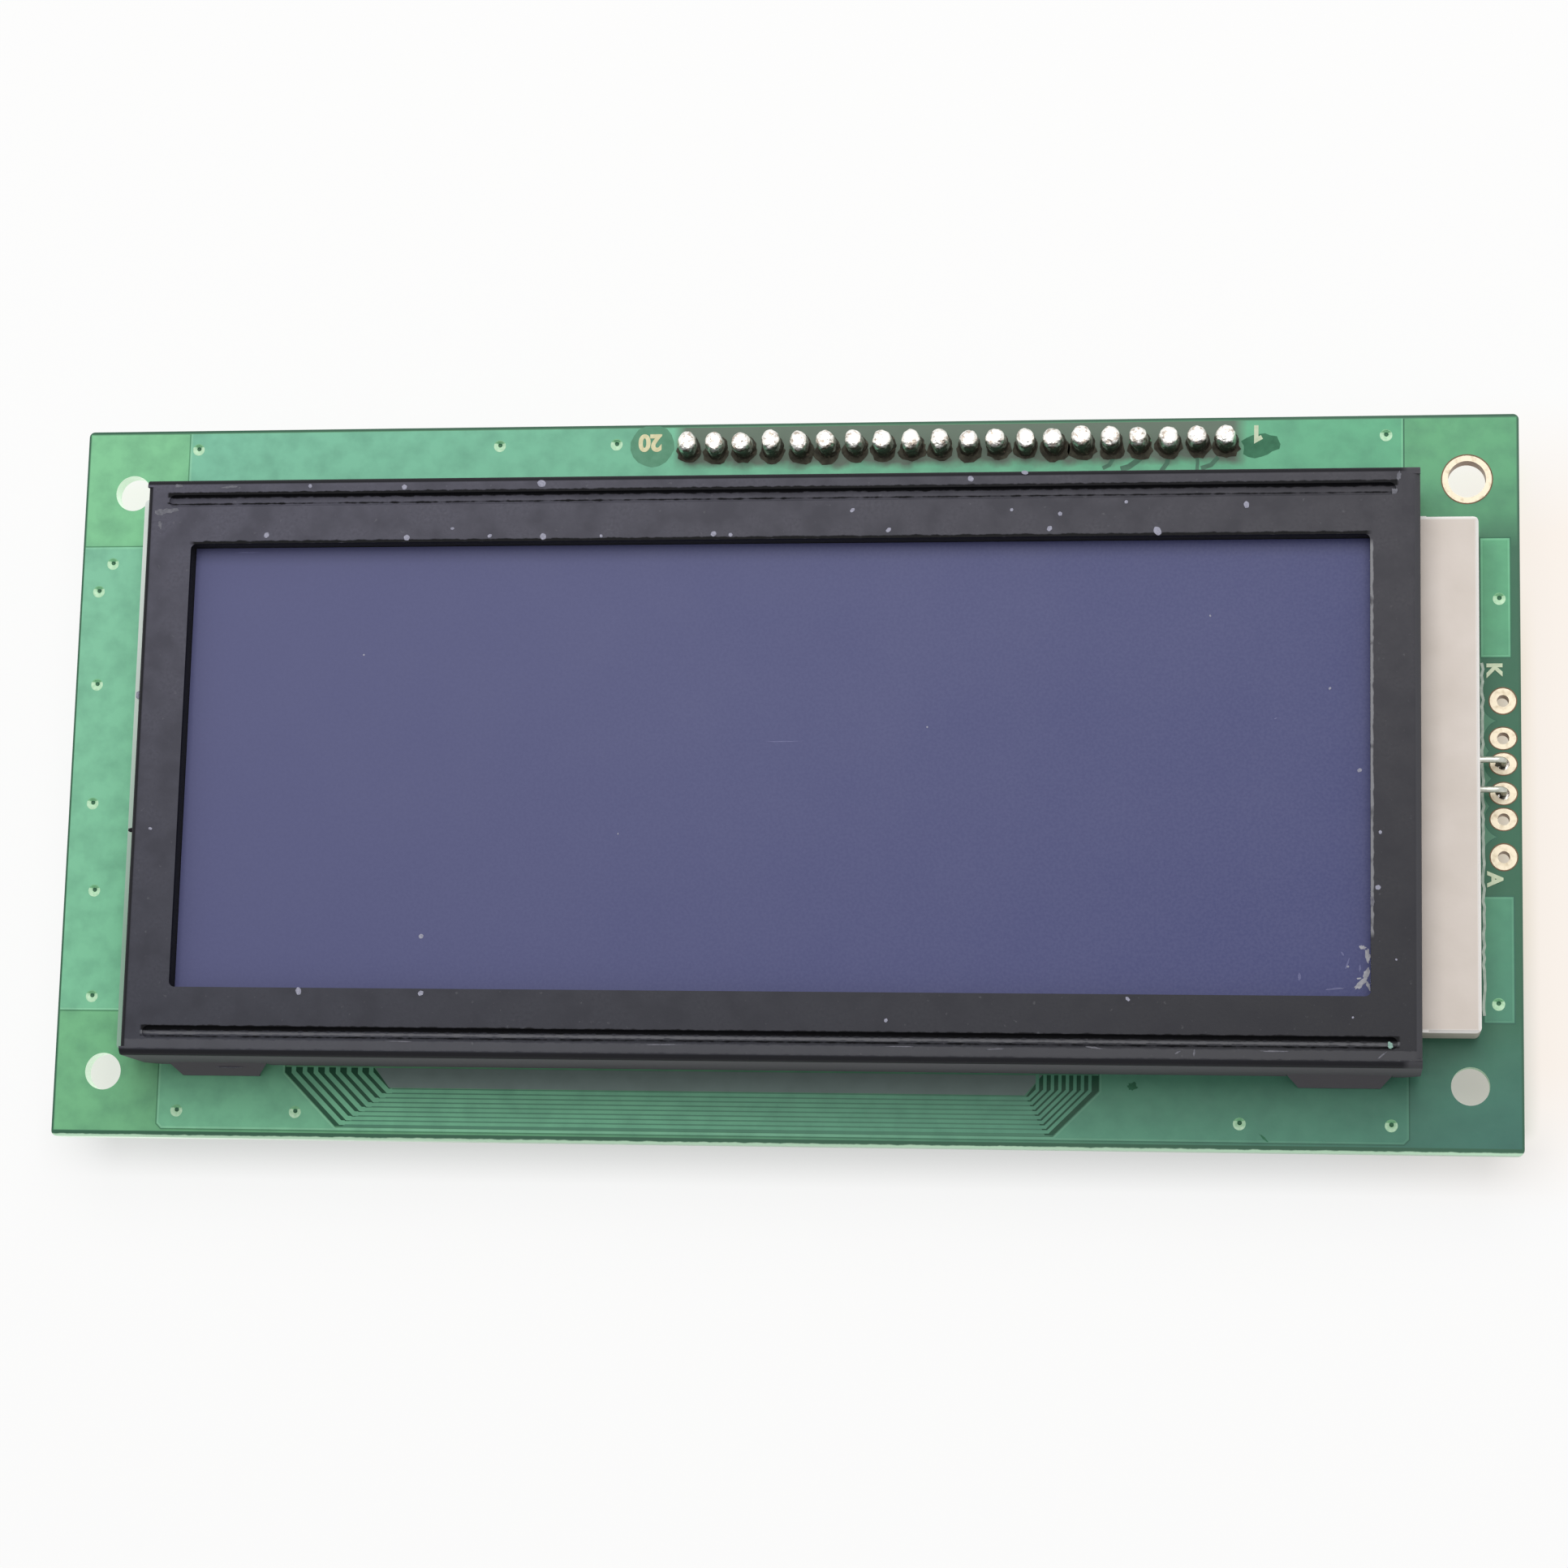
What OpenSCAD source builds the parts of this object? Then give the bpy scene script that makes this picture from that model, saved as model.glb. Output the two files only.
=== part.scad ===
// Graphic liquid-crystal display module. A circuit board carries a glass cell under a folded
// steel bezel, and a white backlight lights the cell from one end.
// Origin: centre of the four corner holes, on the board's front face.
// +X runs towards the backlight's tail, +Y towards the pin header, +Z out of the display.

/* [Board] */
// Length of the board along X
board_w = 130; // [128:0.5:140]
// Height of the board along Y
board_h = 65; // [64:0.5:75]
// Thickness of the board
board_t = 1.6; // [1:0.1:2.4]
// Corner radius of the board
board_corner_r = 0.5; // [0.2:0.1:1.5]
// Thickness of the plated metal on pads, rings and barrels
plating_t = 0.06; // [0.04:0.01:0.12]

/* [Corner holes] */
// Distance between hole centres along X
hole_pitch_x = 121; // [119.5:0.1:122]
// Distance between hole centres along Y
hole_pitch_y = 53.3; // [51:0.1:55]
// Free diameter of the corner holes
hole_d = 3.3; // [2.6:0.1:3.6]
// Width of the plated land round the hole at the top right
ring_land = 0.5; // [0.35:0.05:0.9]
// Radius kept free round a corner hole for a screw's head
screw_clear = 3.2; // [2.8:0.1:3.6]

/* [Vias] */
// Free diameter of a via
via_hole_d = 0.45; // [0.3:0.05:0.6]
// Width of the land round a via
via_land = 0.25; // [0.15:0.05:0.4]
// Inset of the vias along the upper edge
via_top_inset = 1.8; // [1.4:0.1:2.2]
// Inset of the vias along the lower edge
via_bottom_inset = 2.4; // [1.5:0.1:3]

/* [Bezel] */
// Length of the bezel along X
bezel_w = 112.5; // [110:0.5:114]
// Height of the bezel along Y, over its long walls
bezel_h = 51.6; // [50:0.2:52.4]
// Height of the bezel's face above the board
bezel_rise = 9; // [8.6:0.1:11]
// Thickness of the bezel's sheet
bezel_t = 0.4; // [0.3:0.05:0.5]
// Inner radius of the folds at the bezel's edges
fold_r = 0.3; // [0.1:0.05:0.5]
// Gap between the short flanges and the housing's rim
flange_clear = 0.65; // [0.3:0.05:1.2]
// Offset of the display from the board's centre along Y
display_y = -0.15; // [-0.4:0.05:0.4]
// Bevel at the feet of the long walls
foot_bevel = 1.3; // [0.2:0.1:1.8]

/* [Window] */
// Distance from the bezel's end to the window
window_end_inset = 4.25; // [3.75:0.05:7]
// Distance from the bezel's long edge to the window
window_side_inset = 5.95; // [5.6:0.05:7.8]
// Corner radius of the window
window_corner_r = 0.5; // [0.2:0.1:1.5]
// Depth of the display's surface below the bezel's face
recess = 1.8; // [1.4:0.1:2]
// How far the gasket stands back from the window's edge
gasket_setback = 0.05; // [0.05:0.01:0.2]
// Clearance between the gasket and the beads
gasket_clear = 0.25; // [0.1:0.05:0.5]

/* [Beads] */
// Distance from the bezel's end to the end of a bead
bead_end_inset = 1.65; // [1.5:0.05:6]
// Radius of the groove that each bead presses into the face
bead_groove_r = 0.55; // [0.4:0.05:0.7]
// Distance from the bezel's long edge to the middle of the bead
bead_inset = 2; // [1.8:0.1:2.4]

/* [Tabs] */
// Distance from the bezel's end to the middle of a tab
tab_inset = 6.85; // [6.2:0.05:12]
// Width of a tab where it passes the board
tab_w = 7; // [5:0.5:8]
// Slope at each side of a tab's root, seen from the front
tab_flare = 1; // [0.4:0.1:1.2]
// How far a tab steps out from its wall
tab_step = 1; // [0.6:0.1:1.4]
// Height of the tab's root above the board
tab_root_z = 1.7; // [1.4:0.1:2.2]
// Height above the board where the step ends
tab_step_z = 0.5; // [0.2:0.1:0.9]
// Inner radius of the fold behind the board
tab_fold_r = 0.2; // [0.1:0.05:0.25]
// Length of the folded end behind the board
tab_fold_len = 2.6; // [1.5:0.1:3.5]
// Clearance round a tab in its slot
slot_clear = 0.3; // [0.25:0.05:0.5]

/* [Glass cell] */
// Thickness of each glass plate
glass_t = 1.1; // [0.7:0.1:1.1]
// Thickness of each polariser
polariser_t = 0.2; // [0.1:0.05:0.25]
// Overlap of the rear polariser beyond the window
polariser_margin = 1.3; // [0.6:0.1:1.6]
// Clearance between the front glass and the bezel's walls
glass_clear = 0.4; // [0.2:0.05:0.6]

/* [Contact strips] */
// Width of the elastomer strips
zebra_w = 2; // [1.6:0.1:2.4]
// Distance from the bezel's end to the end of an elastomer strip
zebra_end_inset = 4.25; // [3.5:0.05:7]
// Clearance between a strip and the rear glass
zebra_clear = 0.4; // [0.2:0.05:0.6]

/* [Backlight] */
// How far the housing reaches past the bezel on the left
housing_overhang = 1.55; // [0.8:0.05:2]
// Distance from the tail's end to the middle of the pads
tail_to_pad = 2.15; // [1.8:0.05:2.6]
// Height of the tail above the board
tail_rise = 4.6; // [4.2:0.1:4.8]
// Bevel along the tail's upper edges
tail_bevel = 0.25; // [0.1:0.05:0.4]
// Thickness of the housing's walls
housing_wall = 1; // [0.8:0.1:1.2]
// Thickness of the housing's floor
housing_floor = 1; // [0.6:0.1:1.2]
// Thickness of the tail's roof
tail_roof = 0.8; // [0.5:0.1:1]
// Least reach of the tail's roof over the light guide
roof_lap = 1.5; // [1:0.1:2.5]
// Radius of the housing's upright corners
housing_corner_r = 0.5; // [0.3:0.1:0.8]
// Thickness of the reflector and diffuser films
film_t = 0.2; // [0.1:0.05:0.3]
// Air gap above the diffuser
film_gap = 0.2; // [0.1:0.05:0.3]
// Clearance of the films and the light guide in the housing
guide_clear = 0.15; // [0.1:0.05:0.25]

/* [Light source] */
// Thickness of the strip board in the tail
led_board_t = 0.8; // [0.6:0.1:1]
// Clearance of the strip board in the tail
led_board_clear = 0.1; // [0.05:0.05:0.2]
// Number of light-emitting diodes
led_count = 9; // [5:1:10]
// Distance between diodes
led_pitch = 4.2; // [3.6:0.1:4.2]
// Length of a diode along the strip board
led_len = 3; // [2:0.1:3.4]
// Height of a diode
led_h = 1.4; // [1:0.1:1.6]
// Depth of a diode from the strip board to its window
led_depth = 1; // [0.8:0.1:1.2]
// Width of the rim round a diode's window
led_rim = 0.25; // [0.15:0.05:0.3]

/* [Backlight pads] */
// Distance from the board's right edge to the middle of the pads
pad_inset = 1.55; // [1.4:0.05:1.8]
// Distance of the inner pads from the middle of the row
pad_inner_y = 1.3; // [1.1:0.05:1.4]
// Distance of the middle pads from the middle of the row
pad_middle_y = 3.55; // [3.4:0.05:3.8]
// Distance of the outer pads from the middle of the row
pad_outer_y = 6.85; // [6.4:0.05:7.5]
// Length of the pads along X, and diameter of the outer pads
pad_d = 2.25; // [2.15:0.05:2.6]
// Height of the oval pads
pad_oval_h = 1.9; // [1.8:0.05:2.1]
// Free diameter of the pads' holes
pad_hole_d = 1.05; // [0.9:0.05:1.2]

/* [Backlight leads] */
// Diameter of the leads
lead_d = 0.55; // [0.4:0.05:0.7]
// Height of the leads above the board
lead_z = 2.2; // [1.8:0.1:2.8]
// Radius of the bend at the middle of the lead
lead_bend_r = 0.7; // [0.5:0.1:1]
// How far the leads stand out behind the board
lead_out = 0.9; // [0.5:0.1:1.4]
// Clearance round a lead in the tail's wall
lead_clear = 0.1; // [0.05:0.05:0.2]
// Width of the solder fillet round a lead, at the board
lead_fillet = 0.6; // [0.4:0.05:0.7]
// Width of the solder fillet at the lead's end
lead_fillet_end = 0.15; // [0.05:0.05:0.3]

/* [Header] */
// Number of pins
pin_count = 20; // [10:1:20]
// Distance between pins
pin_pitch = 2.54; // [2.3:0.01:2.54]
// Middle of the header along X
header_x = 15.4; // [11:0.1:26]
// Distance from the board's upper edge to the pins
header_inset = 2.2; // [1.6:0.1:2.4]
// Width of a pin
pin_w = 0.64; // [0.5:0.02:0.66]
// Length of a pin below the header's body
pin_reach = 6; // [3:0.1:7]
// How far a pin stands out of the board's front
pin_tail = 2.2; // [1.2:0.1:2.6]
// Length of a pin's pointed end
pin_point = 0.5; // [0.3:0.1:0.6]
// Width of a pin at its tip
pin_tip_w = 0.32; // [0.2:0.02:0.4]
// Height of the header's body
header_h = 2.54; // [2:0.01:3]
// Depth of the header's body along Y
header_depth = 2.5; // [2:0.1:2.8]
// Bevel between two segments of the header's body
header_bevel = 0.4; // [0.2:0.05:0.6]
// Diameter of the board's holes for the pins
pin_hole_d = 1; // [0.96:0.02:1.2]

/* [Header solder] */
// Diameter of a solder joint above its foot
solder_d = 1.7; // [1.4:0.05:1.8]
// Solder above the end of the pin
solder_cap = 0.4; // [0.2:0.05:0.6]
// Radius of the hollow at the joint's foot
solder_foot_r = 0.25; // [0.1:0.05:0.3]

/* [Driver domes] */
// Diameter of the resin domes over the driver chips
dome_d = 18; // [14:0.5:22]
// Height of the resin domes
dome_h = 1.8; // [1.2:0.1:2.2]
// Distance between the domes
dome_pitch = 30; // [24:0.5:31]
// Place of the row of domes along Y
dome_y = -3; // [-7:0.5:2]

/* [Small outline packages] */
// Depth of a package's body between its two rows of legs
package_depth = 3.9; // [3.4:0.1:4.4]
// Height of a package's body
package_h = 1.5; // [1.2:0.1:1.8]
// Draft of a package's sides
package_slope = 0.2; // [0.1:0.05:0.4]
// Gap between a package's body and the board
package_gap = 0.15; // [0.1:0.05:0.25]
// Distance between two legs
leg_pitch = 1.27; // [1.1:0.01:1.4]
// Width of a leg
leg_w = 0.42; // [0.3:0.02:0.5]
// Thickness of a leg
leg_t = 0.2; // [0.15:0.05:0.3]
// Reach of a leg beyond the body
leg_reach = 1.1; // [0.9:0.05:1.3]
// Length of a leg's foot
leg_foot = 0.5; // [0.3:0.05:0.6]
// Place of the packages along Y
package_y = 15; // [12:0.5:17.5]
// Legs on each side of the bias amplifier
amplifier_legs = 7; // [4:1:10]
// Legs on each side of the voltage converter
converter_legs = 4; // [3:1:8]

/* [Chip parts] */
// Length of a chip part
chip_len = 2; // [1.6:0.1:2.4]
// Width of a chip part
chip_w = 1.25; // [0.8:0.05:1.5]
// Height of a chip resistor
resistor_h = 0.55; // [0.4:0.05:0.7]
// Height of a chip capacitor
capacitor_h = 0.9; // [0.6:0.05:1.2]
// Length of the metal terminals of a chip part
terminal_len = 0.4; // [0.25:0.05:0.6]
// Step from a terminal down to the chip's body
terminal_t = 0.05; // [0.03:0.01:0.1]
// Place of the row of chip resistors along Y
resistor_y = 22; // [20:0.5:23]
// Place of the row of chip capacitors along Y
capacitor_y = -18; // [-22:0.5:-16]
// Distance between two chip parts in a row
chip_pitch = 5; // [3:0.5:6]
// Number of chip resistors
resistor_count = 8; // [3:1:10]
// Number of chip capacitors
capacitor_count = 6; // [3:1:10]

/* [Hidden] */
$fn = 48;
// Overlap that lets a cut pass clear through a face
cut = 1;

// Outer radii of the folds, and the top of the upright walls
fold_outer = fold_r + bezel_t;
wall_top = bezel_rise - fold_outer;
bead_ridge_r = bead_groove_r + bezel_t;
bead_len = bezel_w - 2 * bead_end_inset;
bead_y = bezel_h / 2 - bead_inset;
// The long walls run the bezel's full length, short of the corner screws
wall_len = min(bezel_w, hole_pitch_x - 2 * screw_clear);
window_w = bezel_w - 2 * window_end_inset;
window_h = bezel_h - 2 * window_side_inset;
zebra_len = bezel_w - 2 * zebra_end_inset;

// Levels of the stack, from the bezel's face down to the board
front_top = bezel_rise - recess - polariser_t;
cell_mid = front_top - glass_t;
cell_bottom = cell_mid - glass_t;
flange_bottom = cell_bottom + flange_clear;
diffuser_top = cell_bottom - polariser_t - film_gap;
guide_top = diffuser_top - film_t;
guide_bottom = housing_floor + film_t;

// Outlines of the glass cell
glass_w = bezel_w - 2 * (bezel_t + glass_clear);
front_glass_h = bezel_h - 2 * (bezel_t + glass_clear);
rear_glass_h = 2 * (bead_y - zebra_w / 2 - zebra_clear);
rear_polariser_w = window_w + 2 * polariser_margin;

// Outlines of the gasket, round its opening and inside the beads
opening_w = window_w + 2 * gasket_setback;
opening_h = window_h + 2 * gasket_setback;
gasket_w = glass_w - 2 * glass_clear;
gasket_h = 2 * (bead_y - bead_ridge_r - gasket_clear);

// Backlight, from the housing's left end to the tail's right end
pad_x = board_w / 2 - pad_inset;
housing_left = -bezel_w / 2 - housing_overhang;
housing_right = pad_x - tail_to_pad;
well_left = housing_left + housing_wall;
well_right = housing_right - housing_wall;
well_h = rear_glass_h - 2 * housing_wall;
end_bar_right = -zebra_len / 2 - zebra_clear;
tail_top = min(tail_rise, cell_bottom);
tail_ceiling = tail_top - tail_roof;
led_board_back = well_right - led_board_clear;
led_board_front = led_board_back - led_board_t;
led_front = led_board_front - led_depth;
led_mid_z = (housing_floor + tail_ceiling) / 2;
guide_left = well_left + guide_clear;
guide_right = led_front - guide_clear;
guide_h = well_h - 2 * guide_clear;

// The tail begins under the bezel's end, roofs the diodes and keeps clear of the corner screws
tail_left = min(bezel_w / 2 - bezel_t, guide_right - roof_lap);
tail_h = min(rear_glass_h, hole_pitch_y - 2 * (screw_clear + abs(display_y)));
tail_well_h = tail_h - 2 * housing_wall;
lip_left = tail_left - housing_wall;
film_right = lip_left - guide_clear;
entry_h = tail_well_h - 2 * guide_clear;
led_board_len = tail_well_h - 2 * led_board_clear;
entry_top = tail_ceiling - guide_clear;

// Rear face and the rows of parts on it
rear = -board_t;
header_y = board_h / 2 - header_inset;
pad_rows = [[pad_outer_y, pad_d], [pad_middle_y, pad_oval_h], [pad_inner_y, pad_oval_h]];
solder_rise = pin_tail + solder_cap;
tab_x = min(bezel_w / 2 - tab_inset, hole_pitch_x / 2 - screw_clear - slot_clear - tab_w / 2);
slot_y = bezel_h / 2 + tab_step - bezel_t / 2;
dome_count = 4;
dome_facets = 240;
dome_sphere_r = (dome_d * dome_d / 4 + dome_h * dome_h) / (2 * dome_h);

// Vias: places along an edge, or pairs of the inset from an edge and the place along it
via_top_x = [-54.5, -26.2, -15.4, 53.5];
via_bottom_x = [-53.5, -42.6, 40.9, 53.8];
via_left = [[2.9, 20], [1.7, 17.4], [2, 8.7], [2.2, -2.3], [2.8, -10.3], [3.1, -19.9]];
via_right = [[1.8, 15.9], [2.1, -19.6]];
via_places = concat(
    [for (x = via_top_x) [x, board_h / 2 - via_top_inset]],
    [for (x = via_bottom_x) [x, via_bottom_inset - board_h / 2]],
    [for (v = via_left) [v[0] - board_w / 2, v[1]]],
    [for (v = via_right) [board_w / 2 - v[0], v[1]]]
);

// X of a header pin: the first pin is at the right
function pin_x(i) = header_x + ((pin_count - 1) / 2 - i) * pin_pitch;

// Shared shapes

// Rectangle with round corners, centred
module rounded_rect(w, h, r) {
    square([w - 2 * r, h], center = true);
    square([w, h - 2 * r], center = true);
    for (sx = [-1, 1], sy = [-1, 1])
        translate([sx * (w / 2 - r), sy * (h / 2 - r)]) circle(r = r);
}

// Slot shape, w along X and h high, with round ends
module stadium(w, h) {
    square([w - h, h], center = true);
    for (s = [-1, 1])
        translate([s * (w - h) / 2, 0]) circle(d = h);
}

// Profile drawn in Y and Z, drawn out along X and centred
module along_x(len) {
    rotate([90, 0, 90]) linear_extrude(height = len, center = true) children();
}

// Profile drawn in X and Z, drawn out along Y and centred
module along_y(len) {
    rotate([90, 0, 0]) linear_extrude(height = len, center = true) children();
}

// Quarter of a ring in the first quadrant
module quarter_ring(inner, outer) {
    intersection() {
        difference() {
            circle(r = outer);
            circle(r = inner);
        }
        square(outer + cut);
    }
}

// Rod along X with round ends, len over all
module round_rod(len, r) {
    rotate([0, 90, 0]) cylinder(r = r, h = len - 2 * r, center = true);
    for (s = [-1, 1])
        translate([s * (len / 2 - r), 0, 0]) sphere(r = r);
}

// Plate centred on the display's axis, from z0 up to z1
module display_plate(w, h, z0, z1) {
    translate([-w / 2, display_y - h / 2, z0]) cube([w, h, z1 - z0]);
}

// Plated barrel with a land of its children's outline on each face, flush with the board.
// Where over is more than 0 it is the room that the metal takes in the board.
module plated_hole(free_d, over) {
    difference() {
        union() {
            translate([0, 0, -plating_t]) linear_extrude(height = plating_t + over) children();
            translate([0, 0, rear - over]) linear_extrude(height = plating_t + over) children();
            translate([0, 0, rear - over]) cylinder(d = free_d + 2 * plating_t, h = board_t + 2 * over);
        }
        if (over == 0)
            translate([0, 0, rear - cut]) cylinder(d = free_d, h = board_t + 2 * cut);
    }
}

module plated_ring(over) {
    translate([hole_pitch_x / 2, hole_pitch_y / 2, 0])
        plated_hole(hole_d, over) circle(d = hole_d + 2 * ring_land);
}

module plated_pads(over) {
    for (s = [-1, 1], row = pad_rows)
        translate([pad_x, s * row[0], 0])
            plated_hole(pad_hole_d, over)
                if (row[1] == pad_d) circle(d = pad_d);
                else stadium(pad_d, row[1]);
}

module plated_vias(over) {
    for (p = via_places)
        translate([p[0], p[1], 0])
            plated_hole(via_hole_d, over) circle(d = via_hole_d + 2 * via_land);
}

// Board

module board_holes() {
    for (sx = [-1, 1], sy = [-1, 1])
        translate([sx * hole_pitch_x / 2, sy * hole_pitch_y / 2]) circle(d = hole_d);
    for (i = [0 : pin_count - 1])
        translate([pin_x(i), header_y]) circle(d = pin_hole_d);
    for (sx = [-1, 1], sy = [-1, 1])
        translate([sx * tab_x, display_y + sy * slot_y])
            square([tab_w + 2 * slot_clear, bezel_t + 2 * slot_clear], center = true);
}

module pcb() {
    color([0.33, 0.6, 0.43])
        difference() {
            translate([0, 0, rear])
                linear_extrude(height = board_t)
                    difference() {
                        rounded_rect(board_w, board_h, board_corner_r);
                        board_holes();
                    }
            plated_ring(cut);
            plated_pads(cut);
            plated_vias(cut);
        }
}

module mount_ring() {
    color([0.93, 0.86, 0.7]) plated_ring(0);
}

module backlight_pads() {
    color([0.93, 0.86, 0.7]) plated_pads(0);
}

module vias() {
    color([0.6, 0.85, 0.65]) plated_vias(0);
}

// Bezel, folded from one sheet

// One long wall in X and Z: beveled feet, and room for the tabs' roots
module wall_outline() {
    end = wall_len / 2;
    difference() {
        polygon([
            [-end, wall_top], [-end, foot_bevel], [foot_bevel - end, 0],
            [end - foot_bevel, 0], [end, foot_bevel], [end, wall_top]
        ]);
        for (s = [-1, 1])
            translate([s * tab_x - tab_w / 2 - tab_flare, -cut])
                square([tab_w + 2 * tab_flare, tab_root_z + cut]);
    }
}

// Section of a tab in Y and Z from the wall's outer face: step, slot, fold and folded end
module tab_section() {
    fold_z = rear + tab_fold_r;
    inner_y = tab_step - bezel_t;
    polygon([
        [-bezel_t, tab_root_z], [0, tab_root_z], [tab_step, tab_step_z],
        [tab_step, fold_z], [inner_y, fold_z], [inner_y, tab_step_z]
    ]);
    translate([inner_y - tab_fold_r, fold_z])
        mirror([0, 1]) quarter_ring(tab_fold_r, tab_fold_r + bezel_t);
    translate([inner_y - tab_fold_r - tab_fold_len, rear - bezel_t])
        square([tab_fold_len, bezel_t]);
}

// Outline of a tab from the front: sloped root, straight end
module tab_outline() {
    root = tab_w / 2 + tab_flare;
    bottom = rear - bezel_t - cut;
    polygon([
        [-root, tab_root_z], [root, tab_root_z], [tab_w / 2, tab_step_z],
        [tab_w / 2, bottom], [-tab_w / 2, bottom], [-tab_w / 2, tab_step_z]
    ]);
}

module bezel_tab() {
    intersection() {
        along_x(tab_w + 2 * tab_flare) tab_section();
        along_y(2 * (tab_step + tab_fold_len)) tab_outline();
    }
}

// Long wall on the +Y side with its fold and tabs
module bezel_long_side() {
    translate([0, bezel_h / 2 - fold_outer, wall_top])
        along_x(wall_len) quarter_ring(fold_r, fold_outer);
    translate([0, (bezel_h - bezel_t) / 2, 0])
        along_y(bezel_t) wall_outline();
    for (s = [-1, 1])
        translate([s * tab_x, bezel_h / 2, 0]) bezel_tab();
}

// Short flange on the +X side with its fold
module bezel_short_side() {
    len = bezel_h - 2 * fold_outer;
    translate([bezel_w / 2 - fold_outer, 0, wall_top])
        along_y(len) quarter_ring(fold_r, fold_outer);
    translate([bezel_w / 2 - bezel_t, -len / 2, flange_bottom])
        cube([bezel_t, len, wall_top - flange_bottom]);
}

// Face with its two pressed beads and its window
module bezel_face() {
    face_w = bezel_w - 2 * fold_outer;
    face_h = bezel_h - 2 * fold_outer;
    difference() {
        union() {
            translate([-face_w / 2, -face_h / 2, bezel_rise - bezel_t])
                cube([face_w, face_h, bezel_t]);
            for (s = [-1, 1])
                translate([0, s * bead_y, bezel_rise]) round_rod(bead_len, bead_ridge_r);
        }
        for (s = [-1, 1])
            translate([0, s * bead_y, bezel_rise])
                round_rod(bead_len - 2 * bezel_t, bead_groove_r);
        translate([-bezel_w / 2, -bezel_h / 2, bezel_rise])
            cube([bezel_w, bezel_h, bead_ridge_r + cut]);
        translate([0, 0, bezel_rise - bezel_t - cut])
            linear_extrude(height = bezel_t + 2 * cut)
                rounded_rect(window_w, window_h, window_corner_r);
    }
}

module bezel() {
    color([0.27, 0.27, 0.29])
        translate([0, display_y, 0]) {
            bezel_face();
            for (s = [0, 1]) {
                mirror([0, s, 0]) bezel_long_side();
                mirror([s, 0, 0]) bezel_short_side();
            }
        }
}

// Foam frame that holds the front glass off the bezel's face
module bezel_gasket() {
    color([0.08, 0.08, 0.09])
        translate([0, display_y, front_top])
            linear_extrude(height = bezel_rise - bezel_t - front_top)
                difference() {
                    square([gasket_w, gasket_h], center = true);
                    square([opening_w, opening_h], center = true);
                }
}

// Glass cell

module front_polariser() {
    color([0.35, 0.36, 0.55])
        display_plate(window_w, window_h, front_top, front_top + polariser_t);
}

module front_glass() {
    color([0.7, 0.78, 0.8, 0.5])
        display_plate(glass_w, front_glass_h, cell_mid, front_top);
}

module rear_glass() {
    color([0.7, 0.78, 0.8, 0.5])
        display_plate(glass_w, rear_glass_h, cell_bottom, cell_mid);
}

module rear_polariser() {
    color([0.35, 0.36, 0.55])
        display_plate(rear_polariser_w, guide_h, cell_bottom - polariser_t, cell_bottom);
}

module zebra_strip(side) {
    color([0.2, 0.2, 0.22])
        translate([-zebra_len / 2, display_y + side * bead_y - zebra_w / 2, 0])
            cube([zebra_len, zebra_w, cell_mid]);
}

module upper_zebra_strip() {
    zebra_strip(1);
}

module lower_zebra_strip() {
    zebra_strip(-1);
}

// Backlight

// Upright block of the housing, h high along Y, between two places along X
module housing_block(x0, x1, h, z1) {
    translate([(x0 + x1) / 2, display_y, 0])
        linear_extrude(height = z1)
            rounded_rect(x1 - x0, h, housing_corner_r);
}

// Bevels along the tail's three upper edges
module tail_bevel_cuts() {
    side = tail_bevel * sqrt(2);
    run = housing_right - tail_left;
    translate([housing_right, display_y, tail_top])
        rotate([0, 45, 0]) cube([side, tail_h + 2 * cut, side], center = true);
    for (s = [-1, 1])
        translate([housing_right - run / 2 + cut, display_y + s * tail_h / 2, tail_top])
            rotate([45, 0, 0]) cube([run, side, side], center = true);
}

// Tray with a bar across its left end and the tail at its right
module backlight_housing() {
    color([0.83, 0.79, 0.77])
        difference() {
            union() {
                housing_block(housing_left, tail_left, rear_glass_h, cell_bottom);
                housing_block(housing_left, end_bar_right, front_glass_h, cell_bottom);
                housing_block(lip_left, housing_right, tail_h, tail_top);
            }
            tail_bevel_cuts();
            translate([well_left, display_y - well_h / 2, housing_floor])
                cube([lip_left - well_left, well_h, cell_bottom]);
            translate([lip_left - cut, display_y - tail_well_h / 2, housing_floor])
                cube([well_right - lip_left + cut, tail_well_h, tail_ceiling - housing_floor]);
            for (s = [-1, 1])
                translate([well_right - cut, s * pad_inner_y, lead_z])
                    rotate([0, 90, 0]) cylinder(d = lead_d + 2 * lead_clear, h = housing_wall + 2 * cut);
        }
}

// Broad part of the light path, seen from the front
module guide_plan() {
    translate([guide_left, display_y - guide_h / 2]) square([film_right - guide_left, guide_h]);
}

// Part of the light path that runs under the tail's roof
module entry_plan() {
    translate([film_right - cut, display_y - entry_h / 2]) square([guide_right - film_right + cut, entry_h]);
}

module reflector_film() {
    color([0.95, 0.95, 0.96])
        translate([0, 0, housing_floor])
            linear_extrude(height = film_t) {
                guide_plan();
                entry_plan();
            }
}

// Clear plate that steps down where it runs under the tail's roof
module light_guide() {
    color([0.9, 0.95, 0.97, 0.5])
        translate([0, 0, guide_bottom]) {
            linear_extrude(height = guide_top - guide_bottom) guide_plan();
            linear_extrude(height = entry_top - guide_bottom) entry_plan();
        }
}

module diffuser_film() {
    color([0.96, 0.96, 0.94])
        translate([0, 0, guide_top]) linear_extrude(height = film_t) guide_plan();
}

module led_board() {
    color([0.9, 0.9, 0.86])
        translate([led_board_front, display_y - led_board_len / 2, housing_floor])
            cube([led_board_t, led_board_len, tail_ceiling - led_board_clear - housing_floor]);
}

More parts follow.
